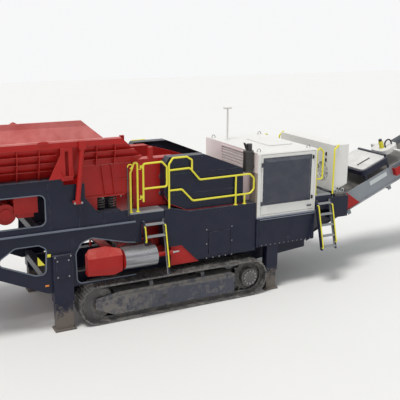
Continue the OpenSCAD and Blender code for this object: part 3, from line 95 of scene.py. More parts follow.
skyTree.links.new(skyBack.outputs[0], skyMix.inputs[2])
skyTree.links.new(skyMix.outputs[0], skyOut.inputs["Surface"])
sunData = bpy.data.lights.new("softSun", "SUN")
sunData.energy = lightValues["sun"]
sunData.angle = math.radians(lightValues["sunSoft"])
sunData.color = (1.0, 0.985, 0.96)
sun = bpy.data.objects.new("softSun", sunData)
bpy.context.scene.collection.objects.link(sun)
sun.rotation_euler = Vector(lightValues["sunFrom"]).to_track_quat("Z", "Y").to_euler()
print("camera and light set")


def deselectAll():
    if bpy.context.object and bpy.context.object.mode != "OBJECT":
        bpy.ops.object.mode_set(mode="OBJECT")
    bpy.ops.object.select_all(action="DESELECT")


def pickOnly(piece):
    deselectAll()
    piece.select_set(True)
    bpy.context.view_layer.objects.active = piece


# Shader groups shared by the finishes
def newGroup(name, inputs, outputs):
    group = bpy.data.node_groups.new(name, "ShaderNodeTree")
    for kind, label, value in inputs:
        socket = group.interface.new_socket(label, in_out="INPUT", socket_type=kind)
        socket.default_value = value
    for kind, label in outputs:
        group.interface.new_socket(label, in_out="OUTPUT", socket_type=kind)
    start = group.nodes.new("NodeGroupInput")
    end = group.nodes.new("NodeGroupOutput")
    return group, start, end


def mathNode(tree, operation, first, second=None, clamp=False):
    node = tree.nodes.new("ShaderNodeMath")
    node.operation = operation
    node.use_clamp = clamp
    for index, value in enumerate((first, second)):
        if value is None:
            continue
        if isinstance(value, (int, float)):
            node.inputs[index].default_value = value
        else:
            tree.links.new(value, node.inputs[index])
    return node.outputs[0]


def times(tree, *values):
    total = values[0]
    for value in values[1:]:
        total = mathNode(tree, "MULTIPLY", total, value)
    return total


def plus(tree, first, second, clamp=False):
    return mathNode(tree, "ADD", first, second, clamp)


def minus(tree, first, second, clamp=False):
    return mathNode(tree, "SUBTRACT", first, second, clamp)


def above(tree, value, limit):
    return mathNode(tree, "GREATER_THAN", value, limit)


def under(tree, value, limit):
    return mathNode(tree, "LESS_THAN", value, limit)


def between(tree, value, low, high):
    return times(tree, above(tree, value, low), under(tree, value, high))


def absolute(tree, value):
    return mathNode(tree, "ABSOLUTE", value)


def rangeNode(tree, value, low, high, toLow=0.0, toHigh=1.0, smooth=True):
    node = tree.nodes.new("ShaderNodeMapRange")
    node.interpolation_type = "SMOOTHSTEP" if smooth else "LINEAR"
    tree.links.new(value, node.inputs["Value"])
    for label, number in (("From Min", low), ("From Max", high), ("To Min", toLow), ("To Max", toHigh)):
        if isinstance(number, (int, float)):
            node.inputs[label].default_value = number
        else:
            tree.links.new(number, node.inputs[label])
    return node.outputs["Result"]


def mixColor(tree, factor, first, second, blend="MIX"):
    node = tree.nodes.new("ShaderNodeMix")
    node.data_type = "RGBA"
    node.blend_type = blend
    for index, value in ((0, factor), (6, first), (7, second)):
        if isinstance(value, (int, float)):
            node.inputs[index].default_value = value
        elif isinstance(value, tuple):
            node.inputs[index].default_value = (*value, 1.0)
        else:
            tree.links.new(value, node.inputs[index])
    return node.outputs[2]


def noiseNode(tree, vector, scale, detail=4.0, rough=0.55, distort=0.0):
    node = tree.nodes.new("ShaderNodeTexNoise")
    tree.links.new(vector, node.inputs["Vector"])
    for label, value in (("Scale", scale), ("Detail", detail), ("Roughness", rough), ("Distortion", distort)):
        if isinstance(value, (int, float)):
            node.inputs[label].default_value = value
        else:
            tree.links.new(value, node.inputs[label])
    return node.outputs["Fac"]


def objectPoint(tree):
    return tree.nodes.new("ShaderNodeTexCoord").outputs["Object"]


def axisValue(tree, vector, axis):
    node = tree.nodes.new("ShaderNodeSeparateXYZ")
    tree.links.new(vector, node.inputs[0])
    return node.outputs[axis]


def makeToneGroup():
    group, start, end = newGroup(
        "paintTone",
        [("NodeSocketColor", "Color", (0.5, 0.5, 0.5, 1)), ("NodeSocketFloat", "Amount", 0.15),
         ("NodeSocketFloat", "Scale", 1.3)],
        [("NodeSocketColor", "Color")],
    )
    point = objectPoint(group)
    broad = noiseNode(group, point, start.outputs["Scale"], 5, 0.6)
    fine = noiseNode(group, point, 38.0, 3, 0.6)
    both = plus(group, times(group, broad, 0.75), times(group, fine, 0.25))
    swing = times(group, minus(group, both, 0.5), start.outputs["Amount"])
    level = plus(group, times(group, swing, 4.0), 1.0)
    node = group.nodes.new("ShaderNodeVectorMath")
    node.operation = "SCALE"
    group.links.new(start.outputs["Color"], node.inputs[0])
    group.links.new(level, node.inputs["Scale"])
    group.links.new(node.outputs[0], end.inputs["Color"])
    return group


def makeDustGroup():
    group, start, end = newGroup(
        "quarryDust",
        [("NodeSocketFloat", "Amount", 0.5), ("NodeSocketFloat", "Sides", 0.15),
         ("NodeSocketFloat", "Scale", 3.0)],
        [("NodeSocketFloat", "Mask")],
    )
    point = objectPoint(group)
    shape = group.nodes.new("ShaderNodeNewGeometry")
    upward = rangeNode(group, axisValue(group, shape.outputs["Normal"], "Z"), 0.15, 0.95)
    patches = rangeNode(group, noiseNode(group, point, start.outputs["Scale"], 8, 0.65, 0.4), 0.32, 0.72)
    speckle = rangeNode(group, noiseNode(group, point, 60.0, 4, 0.7), 0.4, 0.75)
    flat = times(group, upward, plus(group, times(group, patches, 0.7), 0.3))
    speckled = plus(group, times(group, speckle, 0.6), 0.4)
    side = times(group, patches, start.outputs["Sides"], speckled)
    total = plus(group, times(group, flat, start.outputs["Amount"]), side, clamp=True)
    group.links.new(total, end.inputs["Mask"])
    return group


def makeMudGroup():
    group, start, end = newGroup(
        "mudSplash",
        [("NodeSocketFloat", "Height", 1.0), ("NodeSocketFloat", "Spread", 0.5),
         ("NodeSocketFloat", "Amount", 0.8)],
        [("NodeSocketFloat", "Mask")],
    )
    point = objectPoint(group)
    height = axisValue(group, point, "Z")
    top = plus(group, start.outputs["Height"], start.outputs["Spread"])
    low = rangeNode(group, height, start.outputs["Height"], top, 1.0, 0.0)
    clumps = noiseNode(group, point, 7.0, 9, 0.7, 0.6)
    drops = noiseNode(group, point, 42.0, 4, 0.65)
    grain = plus(group, times(group, clumps, 0.7), times(group, drops, 0.3))
    cut = minus(group, 0.86, times(group, low, 0.52))
    mask = rangeNode(group, grain, cut, plus(group, cut, 0.14))
    group.links.new(times(group, mask, start.outputs["Amount"]), end.inputs["Mask"])
    return group


# Edge mask: paint rubbed off at sharp edges, and painted highlight where the edges catch the light
def makeEdgeWearAndHighlightGroup():
    group, start, end = newGroup(
        "edgeWearAndHighlight",
        [("NodeSocketFloat", "Amount", 0.5), ("NodeSocketFloat", "Scale", 9.0)],
        [("NodeSocketFloat", "Mask")],
    )
    point = objectPoint(group)
    soft = group.nodes.new("ShaderNodeBevel")
    soft.samples = 6
    soft.inputs["Radius"].default_value = 0.012
    shape = group.nodes.new("ShaderNodeNewGeometry")
    dot = group.nodes.new("ShaderNodeVectorMath")
    dot.operation = "DOT_PRODUCT"
    group.links.new(soft.outputs[0], dot.inputs[0])
    group.links.new(shape.outputs["Normal"], dot.inputs[1])
    edge = rangeNode(group, dot.outputs["Value"], 0.995, 0.85)
    broken = rangeNode(group, noiseNode(group, point, start.outputs["Scale"], 6, 0.7), 0.42, 0.6)
    group.links.new(times(group, edge, broken, start.outputs["Amount"]), end.inputs["Mask"])
    return group


def makeSkinGroup():
    group, start, end = newGroup(
        "surfaceSkin",
        [("NodeSocketFloat", "Fine", 140.0), ("NodeSocketFloat", "Dents", 1.6),
         ("NodeSocketFloat", "Strength", 0.15)],
        [("NodeSocketVector", "Normal")],
    )
    point = objectPoint(group)
    fine = noiseNode(group, point, start.outputs["Fine"], 3, 0.6)
    dents = noiseNode(group, point, start.outputs["Dents"], 2, 0.5)
    height = plus(group, times(group, fine, 0.12), dents)
    bump = group.nodes.new("ShaderNodeBump")
    bump.inputs["Distance"].default_value = 0.02
    group.links.new(start.outputs["Strength"], bump.inputs["Strength"])
    group.links.new(height, bump.inputs["Height"])
    group.links.new(bump.outputs["Normal"], end.inputs["Normal"])
    return group


toneGroup = makeToneGroup()
dustGroup = makeDustGroup()
mudGroup = makeMudGroup()
edgeWearAndHighlightGroup = makeEdgeWearAndHighlightGroup()
skinGroup = makeSkinGroup()
dustColor = (0.46, 0.42, 0.36)
mudColor = (0.17, 0.145, 0.12)


def useGroup(tree, group, output, values):
    node = tree.nodes.new("ShaderNodeGroup")
    node.node_tree = group
    for label, value in values.items():
        if isinstance(value, (int, float)):
            node.inputs[label].default_value = value
        elif isinstance(value, tuple):
            node.inputs[label].default_value = (*value, 1.0)
        else:
            tree.links.new(value, node.inputs[label])
    return node.outputs[output]


def newMaterial(name):
    material = bpy.data.materials.new(name)
    material.use_nodes = True
    tree = material.node_tree
    tree.nodes.clear()
    out = tree.nodes.new("ShaderNodeOutputMaterial")
    shader = tree.nodes.new("ShaderNodeBsdfPrincipled")
    tree.links.new(shader.outputs[0], out.inputs["Surface"])
    return material, tree, shader


# What a paint has unless its own values say otherwise
usualPaint = {"tone": 0.12, "wearAndHighlight": 0.5, "paintEdgeColor": (0.30, 0.29, 0.28), "dust": 0.5, "film": 0.12,
              "dustColor": dustColor, "mud": 0.0, "mudFrom": 0.2, "mudTo": 1.2,
              "rough": 0.38, "skin": 0.08, "gloss": 0.5}


# A painted finish: tone, chipped edges that also stand for painted highlight, dust on what faces up, mud low
# down
def paintFinish(name, ownValues, recolor=None):
    values = {**usualPaint, **ownValues}
    material, tree, shader = newMaterial(name)
    base = values["paint"]
    if recolor:
        base = recolor(tree, base)
    color = useGroup(tree, toneGroup, "Color", {"Color": base, "Amount": values["tone"], "Scale": 1.1})
    wearAndHighlight = useGroup(tree, edgeWearAndHighlightGroup, "Mask", {"Amount": values["wearAndHighlight"], "Scale": 8.0})
    color = mixColor(tree, wearAndHighlight, color, values["paintEdgeColor"])
    dust = useGroup(tree, dustGroup, "Mask", {"Amount": values["dust"], "Sides": values["film"]})
    color = mixColor(tree, dust, color, values["dustColor"])
    mudInputs = {"Height": values["mudFrom"], "Spread": values["mudTo"], "Amount": values["mud"]}
    mud = useGroup(tree, mudGroup, "Mask", mudInputs)
    color = mixColor(tree, mud, color, mudColor)
    tree.links.new(color, shader.inputs["Base Color"])
    rough = plus(tree, times(tree, dust, 0.4), values["rough"], clamp=True)
    rough = plus(tree, rough, times(tree, mud, 0.4), clamp=True)
    tree.links.new(rough, shader.inputs["Roughness"])
    skin = useGroup(tree, skinGroup, "Normal", {"Strength": values["skin"]})
    tree.links.new(skin, shader.inputs["Normal"])
    shader.inputs["Specular IOR Level"].default_value = values["gloss"]
    return material


# Steel under caked soil, with rubbed edges that are also painted highlight, and dusty above a height and
# towards the rear
def muddySteel(name, values):
    material, tree, shader = newMaterial(name)
    point = objectPoint(tree)
    steel = useGroup(tree, toneGroup, "Color", {"Color": values["steel"], "Amount": 0.22, "Scale": 4.0})
    clumps = noiseNode(tree, point, 5.0, 9, 0.68, 0.5)
    cake = rangeNode(tree, clumps, values["bareShare"], values["bareShare"] + 0.22)
    if "dustHeights" in values:
        high = rangeNode(tree, axisValue(tree, point, "Z"), *values["dustHeights"])
        rear = rangeNode(tree, axisValue(tree, point, "X"), *values["dustPlaces"])
        spread = rangeNode(tree, noiseNode(tree, point, 8.0, 8, 0.65), 0.36, 0.56)
        dusty = times(tree, mathNode(tree, "MAXIMUM", high, rear), spread)
        cake = mathNode(tree, "MAXIMUM", cake, dusty)
    soil = mixColor(tree, noiseNode(tree, point, 23.0, 6, 0.7), values["mudDark"], values["mudPale"])
    color = mixColor(tree, cake, steel, soil)
    wearAndHighlight = useGroup(tree, edgeWearAndHighlightGroup, "Mask", {"Amount": values["wearAndHighlight"], "Scale": 14.0})
    color = mixColor(tree, wearAndHighlight, color, values["steelEdgeColor"])
    tree.links.new(color, shader.inputs["Base Color"])
    tree.links.new(rangeNode(tree, cake, 0, 1, 0.5, 0.92, smooth=False), shader.inputs["Roughness"])
    tree.links.new(rangeNode(tree, cake, 0, 0.6, 0.55, 0.0, smooth=False), shader.inputs["Metallic"])
    lumps = plus(tree, noiseNode(tree, point, 26.0, 6, 0.7), times(tree, cake, 0.8))
    bump = tree.nodes.new("ShaderNodeBump")
    bump.inputs["Distance"].default_value = 0.02
    bump.inputs["Strength"].default_value = 0.55
    tree.links.new(lumps, bump.inputs["Height"])
    tree.links.new(bump.outputs["Normal"], shader.inputs["Normal"])
    return material


# Unpainted steel with a little dust
def bareSteel(name, values):
    material, tree, shader = newMaterial(name)
    color = useGroup(tree, toneGroup, "Color", {"Color": values["steel"], "Amount": 0.2, "Scale": 6.0})
    dust = useGroup(tree, dustGroup, "Mask", {"Amount": 0.5, "Sides": 0.15})
    color = mixColor(tree, dust, color, dustColor)
    tree.links.new(color, shader.inputs["Base Color"])
    rough = plus(tree, times(tree, dust, 0.4), values["rough"], clamp=True)
    tree.links.new(rough, shader.inputs["Roughness"])
    metal = minus(tree, values["metal"], times(tree, dust, values["metal"]))
    tree.links.new(metal, shader.inputs["Metallic"])
    skin = useGroup(tree, skinGroup, "Normal", {"Strength": 0.12, "Fine": 90.0})
    tree.links.new(skin, shader.inputs["Normal"])
    return material


# Belt rubber, or a rubbed belt whose pale grey base and dark streak marks along X are rubbing and painted sheen
def beltRubber(name, values):
    material, tree, shader = newMaterial(name)
    point = objectPoint(tree)
    color = useGroup(tree, toneGroup, "Color", {"Color": values["rubber"], "Amount": 0.25, "Scale": 2.0})
    if values.get("sheenStreaks"):
        stretch = tree.nodes.new("ShaderNodeMapping")
        stretch.inputs["Scale"].default_value = (1.0, 14.0, 14.0)
        tree.links.new(point, stretch.inputs["Vector"])
        sheenLines = rangeNode(tree, noiseNode(tree, stretch.outputs[0], 0.9, 4, 0.6), 0.40, 0.70, 0.0, 0.7)
        color = mixColor(tree, sheenLines, color, (0.08, 0.08, 0.09))
    shader.inputs["Metallic"].default_value = values.get("metal", 0.0)
    dustInputs = {"Amount": values["dust"], "Sides": values["film"], "Scale": 4.0}
    dust = useGroup(tree, dustGroup, "Mask", dustInputs)
    color = mixColor(tree, dust, color, (0.24, 0.22, 0.19))
    tree.links.new(color, shader.inputs["Base Color"])
    rough = rangeNode(tree, dust, 0, 1, values["rough"], 0.85, smooth=False)
    tree.links.new(rough, shader.inputs["Roughness"])
    bump = tree.nodes.new("ShaderNodeBump")
    bump.inputs["Distance"].default_value = 0.004
    bump.inputs["Strength"].default_value = 0.4
    tree.links.new(noiseNode(tree, point, 120.0, 4, 0.6), bump.inputs["Height"])
    tree.links.new(bump.outputs["Normal"], shader.inputs["Normal"])
    return material


# Paint that changes at a plane: another colour where the axis value is above or below the limit
def otherPast(axis, limit, other, below=False):
    def paint(tree, base):
        value = axisValue(tree, objectPoint(tree), axis)
        past = mathNode(tree, "LESS_THAN" if below else "GREATER_THAN", value, limit)
        return mixColor(tree, past, base, other)
    return paint


# Several such changes one after the other
def paintSteps(*steps):
    def paint(tree, base):
        for step in steps:
            base = step(tree, base)
        return base
    return paint


# Another colour inside a box, given by its low and high corners
def otherInside(low, high, other):
    def paint(tree, base):
        point = objectPoint(tree)
        inside = None
        for index, axis in enumerate("XYZ"):
            value = axisValue(tree, point, axis)
            for limit, test in ((low[index], "GREATER_THAN"), (high[index], "LESS_THAN")):
                if limit is None:
                    continue
                side = mathNode(tree, test, value, limit)
                inside = side if inside is None else times(tree, inside, side)
        return mixColor(tree, inside, base, other)
    return paint


# The main conveyor's rise: where it starts and how steep it is
riseValues = {"kink": 3.0, "foot": 0.76, "angle": 22}
# Magnet paint along the rise: pale cover and drive housing, dark bar on the cover, yellow motor, black pipe.
# Reaches are along the belt from the magnet's start, and lifts are from its underside.
magnetValues = {
    "start": 2.99, "clear": 0.48, "top": 0.1305, "cover": 0.855, "housing": (1.0, 1.7), "skirt": -0.01,
    "bar": 0.66, "barLift": 0.1605, "barColor": (0.02, 0.02, 0.022),
    "motor": (1.15, 1.29), "motorLift": (0.131, 0.33), "motorY": -0.04, "motorHalf": 0.063,
    "pipe": 1.3, "pipeColor": (0.015, 0.015, 0.016),
}


def magnetColors(tree, base):
    point = objectPoint(tree)
    angle = math.radians(riseValues["angle"])
    along = minus(tree, axisValue(tree, point, "X"), across(riseValues["kink"]))
    height = minus(tree, axisValue(tree, point, "Z"), riseValues["foot"])
    reach = plus(tree, times(tree, along, math.cos(angle)), times(tree, height, math.sin(angle)))
    lift = minus(tree, times(tree, height, math.cos(angle)), times(tree, along, math.sin(angle)))
    reach = minus(tree, reach, magnetValues["start"])
    lift = minus(tree, lift, magnetValues["clear"])
    side = absolute(tree, minus(tree, axisValue(tree, point, "Y"), magnetValues["motorY"]))
    top = magnetValues["top"]
    cover = times(tree, between(tree, reach, 0.0, magnetValues["cover"]), above(tree, lift, top))
    base = mixColor(tree, cover, base, white)
    housing = times(tree, between(tree, reach, *magnetValues["housing"]),
                    between(tree, lift, magnetValues["skirt"], top))
    base = mixColor(tree, housing, base, white)
    bar = times(tree, between(tree, reach, 0.0, magnetValues["bar"]),
                above(tree, lift, magnetValues["barLift"]))
    base = mixColor(tree, bar, base, magnetValues["barColor"])
    motor = times(tree, between(tree, reach, *magnetValues["motor"]),
                  between(tree, lift, *magnetValues["motorLift"]), under(tree, side, magnetValues["motorHalf"]))
    base = mixColor(tree, motor, base, yellow)
    pipe = times(tree, above(tree, reach, magnetValues["pipe"]),
                 above(tree, lift, magnetValues["motorLift"][0]))
    return mixColor(tree, pipe, base, magnetValues["pipeColor"])


# Rows of round holes in the exhaust's heat shield, drawn as near-black dots: painted shade inside the holes
exhaustValues = {"x": 1.87, "y": -1.06, "radius": 0.118, "pitch": 0.034, "low": 2.93, "high": 3.33,
                 "sheet": (0.024, 0.023, 0.023), "holeShade": (0.003, 0.003, 0.003), "holeSize": (0.10, 0.07)}


def exhaustSheetAndHoleShade(tree, base):
    point = objectPoint(tree)
    angle = mathNode(tree, "ARCTAN2", minus(tree, axisValue(tree, point, "Y"), exhaustValues["y"]),
                     minus(tree, axisValue(tree, point, "X"), across(exhaustValues["x"])))
    count = round(2 * math.pi * exhaustValues["radius"] / exhaustValues["pitch"])
    height = axisValue(tree, point, "Z")
    row = mathNode(tree, "DIVIDE", height, exhaustValues["pitch"])
    shift = times(tree, mathNode(tree, "MODULO", mathNode(tree, "FLOOR", row), 2.0), 0.5)
    column = plus(tree, times(tree, angle, count / (2 * math.pi)), shift)
    parts = [minus(tree, mathNode(tree, "FRACT", value), 0.5) for value in (row, column)]
    far = plus(tree, *[times(tree, part, part) for part in parts])
    holeShade = rangeNode(tree, far, *exhaustValues["holeSize"])
    zone = between(tree, height, exhaustValues["low"], exhaustValues["high"])
    sheet = mixColor(tree, zone, base, exhaustValues["sheet"])
    return mixColor(tree, times(tree, holeShade, zone), sheet, exhaustValues["holeShade"])


# Pale dust and painted sunlight on the inside of the hopper's sloping walls
hopperValues = {"foot": 3.17, "half": 1.036, "slope": 0.403, "share": 0.72, "color": (0.78, 0.30, 0.28)}


def dustAndLightInside(tree, base):
    point = objectPoint(tree)
    outward = absolute(tree, axisValue(tree, point, "Y"))
    height = minus(tree, axisValue(tree, point, "Z"), hopperValues["foot"])
    skin = plus(tree, times(tree, height, hopperValues["slope"]), hopperValues["half"])
    inside = times(tree, under(tree, outward, skin), above(tree, height, 0.0))
    patches = rangeNode(tree, noiseNode(tree, point, 1.7, 6, 0.6), 0.25, 0.7, 0.45, 1.0)
    return mixColor(tree, times(tree, inside, patches, hopperValues["share"]), base, hopperValues["color"])


# Ladder paint: the tubes in front of the stringers are yellow, and the steps pale
ladderValues = {
    "rear": {"middle": -0.55, "half": 0.21, "slope": 0.217, "top": 2.100},
    "front": {"middle": 3.85, "half": 0.18, "slope": 0.2696, "top": 2.050},
}
ladderReach = {"aside": 0.5, "gap": 0.002, "front": 1.312}


def ladderPaint(tree, base):
    point = objectPoint(tree)
    outward = absolute(tree, axisValue(tree, point, "Y"))
    height = axisValue(tree, point, "Z")
    for ladder in ladderValues.values():
        aside = absolute(tree, minus(tree, axisValue(tree, point, "X"), across(ladder["middle"])))
        near = under(tree, aside, ladderReach["aside"])
        tube = above(tree, aside, ladder["half"] + ladderReach["gap"])
        reach = times(tree, minus(tree, ladder["top"], height), ladder["slope"])
        proud = above(tree, outward, plus(tree, reach, ladderReach["front"]))
        base = mixColor(tree, minus(tree, near, tube, clamp=True), base, paleDeck)
        base = mixColor(tree, times(tree, near, tube, proud), base, yellow)
    return base


navy = (0.0105, 0.0128, 0.0300)
red = (0.37, 0.0085, 0.0070)
white = (0.70, 0.695, 0.67)
yellow = (0.74, 0.67, 0.045)
paleDeck = (0.26, 0.275, 0.285)
ledgeHighlightGrey = (0.13, 0.15, 0.19)
baseHighlightGrey = (0.20, 0.22, 0.27)
paintedLightPink = (0.80, 0.69, 0.68)
sootBrown = (0.34, 0.29, 0.25)
doorBlue = (0.024, 0.028, 0.050)
# The navy and red edge colours are paler than the paint: rubbed paint and painted highlight at the edges
navyValues = {"paint": navy, "dust": 0.34, "film": 0.035, "rough": 0.34, "gloss": 0.24, "mud": 0.8,
              "mudFrom": 0.1, "paintEdgeColor": (0.13, 0.14, 0.17), "dustColor": (0.24, 0.24, 0.25), "tone": 0.10}
redValues = {"paint": red, "dust": 0.34, "film": 0.06, "rough": 0.36, "gloss": 0.28, "mud": 0.5,
             "mudFrom": 0.5, "dustColor": (0.55, 0.22, 0.18), "paintEdgeColor": (0.42, 0.10, 0.07)}
whiteValues = {"paint": white, "dust": 0.10, "film": 0.07, "rough": 0.34, "tone": 0.04, "wearAndHighlight": 0.25,
               "dustColor": (0.50, 0.49, 0.46), "paintEdgeColor": (0.4, 0.4, 0.38)}
yellowValues = {"paint": yellow, "dust": 0.12, "film": 0.05, "rough": 0.40, "gloss": 0.35, "tone": 0.08,
                "wearAndHighlight": 0.3}
greyValues = {"paint": (0.21, 0.235, 0.265), "dust": 0.4, "film": 0.16, "mud": 0.6, "mudFrom": 0.4,
              "rough": 0.42}

# Where a paint changes: heights and outer faces of flanges, decks and strips (the flange and strip greys are
# painted highlight), and the X where the red starts, below which painted shade darkens the guards and the
# conveyor frame
changeValues = {"flangeLow": 2.108, "flangeHigh": 2.1355, "flangeY": 1.2515, "lipLow": 1.2585,
                "lipHigh": 1.2625, "canopyFace": 2.004, "sootY": -0.93,
                "sootHigh": 2.86, "doorY": -1.2805, "baseTop": 1.798,
                "stripLow": 1.7275, "stripHigh": 1.79, "stripY": -1.3035, "deckLow": 2.268, "stepFrom": 3.6,
                "stepTo": 4.095, "stepLow": 2.149, "stepHigh": 2.182, "shaded": 4.75}
canopyFace = across(changeValues["canopyFace"])

navyPaint = paintFinish("navyPaint", navyValues)
# Side plate paint with a pale grey on the flanges and lips: painted highlight where they catch the light
platePaint = paintFinish("platePaint", navyValues, paintSteps(
    otherInside((None, None, changeValues["flangeLow"]),
                (None, -changeValues["flangeY"], changeValues["flangeHigh"]), ledgeHighlightGrey),
    otherInside((None, changeValues["flangeY"], changeValues["flangeLow"]),
                (None, None, changeValues["flangeHigh"]), ledgeHighlightGrey),
    otherInside((None, -changeValues["lipHigh"], None), (None, -changeValues["lipLow"], None), ledgeHighlightGrey),
    otherInside((None, changeValues["lipLow"], None), (None, changeValues["lipHigh"], None), ledgeHighlightGrey)))
redPaint = paintFinish("redPaint", redValues)
# Painted shade: navy on the guards and the conveyor frame below this X, behind the near ladder
paintedShadeBehindLadder = otherPast("X", across(changeValues["shaded"]), navy, below=True)
guardPaint = paintFinish("guardPaint", redValues, paintedShadeBehindLadder)
hopperPaint = paintFinish("hopperPaint", redValues, dustAndLightInside)
whitePaint = paintFinish("whitePaint", whiteValues)
# Canopy paint: the end face past canopyFace is a lighter pinkish white, which is painted light on that side
canopyPaint = paintFinish("canopyPaint", whiteValues, paintSteps(
    otherPast("X", canopyFace, paintedLightPink, below=True),
    otherInside((None, None, None), (canopyFace, changeValues["sootY"], changeValues["sootHigh"]), sootBrown)))
yellowPaint = paintFinish("yellowPaint", yellowValues)
conveyorPaint = paintFinish("conveyorPaint", greyValues, paintedShadeBehindLadder)
doorPaint = paintFinish("doorPaint", whiteValues, otherPast("Y", changeValues["doorY"], doorBlue, below=True))
# Canopy base paint, paler grey at its top and on a strip along the near face: painted highlight on the ledges
basePaint = paintFinish("canopyBasePaint", navyValues, paintSteps(
    otherPast("Z", changeValues["baseTop"], baseHighlightGrey),
    otherInside((None, None, changeValues["stripLow"]),
                (None, changeValues["stripY"], changeValues["stripHigh"]), baseHighlightGrey)))
deckPaint = paintFinish("deckPaint", navyValues, paintSteps(
    otherInside((None, None, changeValues["deckLow"]), (across(0), None, None), paleDeck),
    otherInside((across(changeValues["stepFrom"]), None, changeValues["stepLow"]),
                (across(changeValues["stepTo"]), None, changeValues["stepHigh"]), paleDeck)))
ladderFinish = paintFinish("ladderPaint", {**navyValues, "dust": 0.7}, ladderPaint)
magnetPaint = paintFinish("magnetPaint", navyValues, magnetColors)
exhaustPaint = paintFinish("exhaustPaint", {"paint": (0.02, 0.02, 0.022), "dust": 0.2, "film": 0.05,
                                            "rough": 0.4}, exhaustSheetAndHoleShade)
# The track's pale edge colour is rubbed steel and painted highlight on the grouser tips
trackSteel = muddySteel("trackSteel", {
    "steel": (0.10, 0.098, 0.098), "bareShare": 0.45, "mudDark": (0.085, 0.077, 0.069),
    "mudPale": (0.27, 0.248, 0.222), "steelEdgeColor": (0.50, 0.48, 0.46), "wearAndHighlight": 1.0})
trackFrameSteel = muddySteel("trackFrameSteel", {
    "steel": (0.072, 0.076, 0.10), "bareShare": 0.48, "mudDark": (0.125, 0.115, 0.105),
    "mudPale": (0.235, 0.22, 0.20), "steelEdgeColor": (0.30, 0.29, 0.275), "wearAndHighlight": 0.65,
    "dustHeights": (0.47, 0.56), "dustPlaces": (-1.6, -3.1)})
beltSkin = beltRubber("beltSkin", {"dust": 0.45, "film": 0.25, "rough": 0.32, "rubber": (0.028, 0.028, 0.031)})
# Side belt: pale grey base and streak pattern, rubbing and painted sheen along the drum
wornSheenBelt = beltRubber("wornSheenBelt", {"dust": 0.10, "film": 0.05, "rough": 0.22, "rubber": (0.34, 0.34, 0.36),
                                   "metal": 0.6, "sheenStreaks": True})
castSteel = bareSteel("castSteel", {"steel": (0.16, 0.155, 0.15), "rough": 0.6, "metal": 0.5})
darkSteel = bareSteel("darkSteel", {"steel": (0.055, 0.055, 0.06), "rough": 0.42, "metal": 0.5})
brightSteel = bareSteel("brightSteel", {"steel": (0.46, 0.46, 0.47), "rough": 0.26, "metal": 0.85})
boltSteel = bareSteel("boltSteel", {"steel": (0.30, 0.30, 0.31), "rough": 0.38, "metal": 0.7})
blackPlastic = paintFinish("blackPlastic", {"paint": (0.014, 0.014, 0.016), "dust": 0.2, "film": 0.06,
                                            "rough": 0.46, "wearAndHighlight": 0.15, "skin": 0.14})
amberLens = paintFinish("amberLens", {"paint": (0.70, 0.20, 0.02), "dust": 0.2, "film": 0.2, "rough": 0.25})
palePlate = paintFinish("palePlate", {"paint": (0.52, 0.56, 0.57), "dust": 0.3, "film": 0.15, "rough": 0.5})
print("finishes made")

finishOf = {
    "track_chain": trackSteel, "track_frame": trackFrameSteel, "track_wheels": trackSteel,
    "main_frame": navyPaint, "side_plate": platePaint, "leg": navyPaint, "hopper": hopperPaint,
    "feeder_pan": redPaint, "feeder_drive": redPaint, "feeder_springs": darkSteel, "crusher_body": redPaint,
    "jaw_plates": castSteel, "flywheel": navyPaint, "body_panel": navyPaint, "canopy_base": basePaint,
    "canopy": canopyPaint, "canopy_door": doorPaint, "engine": darkSteel, "exhaust": exhaustPaint,
    "platforms": deckPaint, "ladders": ladderFinish, "handrails": yellowPaint, "gate": yellowPaint,
    "cooler_box": whitePaint, "conveyor_frame": conveyorPaint, "conveyor_guards": guardPaint,
    "conveyor_belt": beltSkin, "conveyor_drums": darkSteel, "magnet": magnetPaint,
    "side_conveyor": redPaint, "side_belt": wornSheenBelt,
}
for name, node in nodes.items():
    known = [key for key in finishOf if name.startswith(key)]
    node.data.materials.clear()
    node.data.materials.append(finishOf[max(known, key=len)])
print("frame dressed")


# Modelling steps shared by the added pieces
def chooseFaces(piece, test):
    pickOnly(piece)
    bpy.ops.object.mode_set(mode="EDIT")
    bpy.ops.mesh.select_mode(type="FACE")
    bpy.ops.mesh.select_all(action="DESELECT")
    shape = bmesh.from_edit_mesh(piece.data)
    for face in shape.faces:
        if test(face.calc_center_median(), face.normal):
            face.select_set(True)
    bmesh.update_edit_mesh(piece.data)


def startBlock(low, high):
    deselectAll()
    low, high = Vector(low), Vector(high)
    bpy.ops.mesh.primitive_cube_add(size=1, location=(low + high) / 2)
    piece = bpy.context.object
    piece.scale = high - low
    bpy.ops.object.transform_apply(location=True, rotation=True, scale=True)
    return piece


def startDrum(place, radius, length, axis, corners=24):
    deselectAll()
    turned = {"X": (0, math.pi / 2, 0), "Y": (math.pi / 2, 0, 0), "Z": (0, 0, 0)}[axis]
    bpy.ops.mesh.primitive_cylinder_add(vertices=corners, radius=radius, depth=length, location=place,
                                        rotation=turned)
    bpy.ops.object.transform_apply(location=True, rotation=True, scale=True)
    return bpy.context.object


def sinkFace(piece, facing, border, depth):  # a border round a face, and the middle moved in
    facing = Vector(facing)
    chooseFaces(piece, lambda place, normal: normal.dot(facing) > 0.9)
    bpy.ops.mesh.inset(thickness=border, depth=-depth)
    bpy.ops.object.mode_set(mode="OBJECT")


def stepOut(piece, facing, steps):  # turned steps out of an end face: (narrower by, length)
    facing = Vector(facing)
    chooseFaces(piece, lambda place, normal: normal.dot(facing) > 0.9)
    for narrower, length in steps:
        bpy.ops.mesh.inset(thickness=narrower)
        bpy.ops.mesh.extrude_region_move(TRANSFORM_OT_translate={"value": facing * length})
    bpy.ops.object.mode_set(mode="OBJECT")


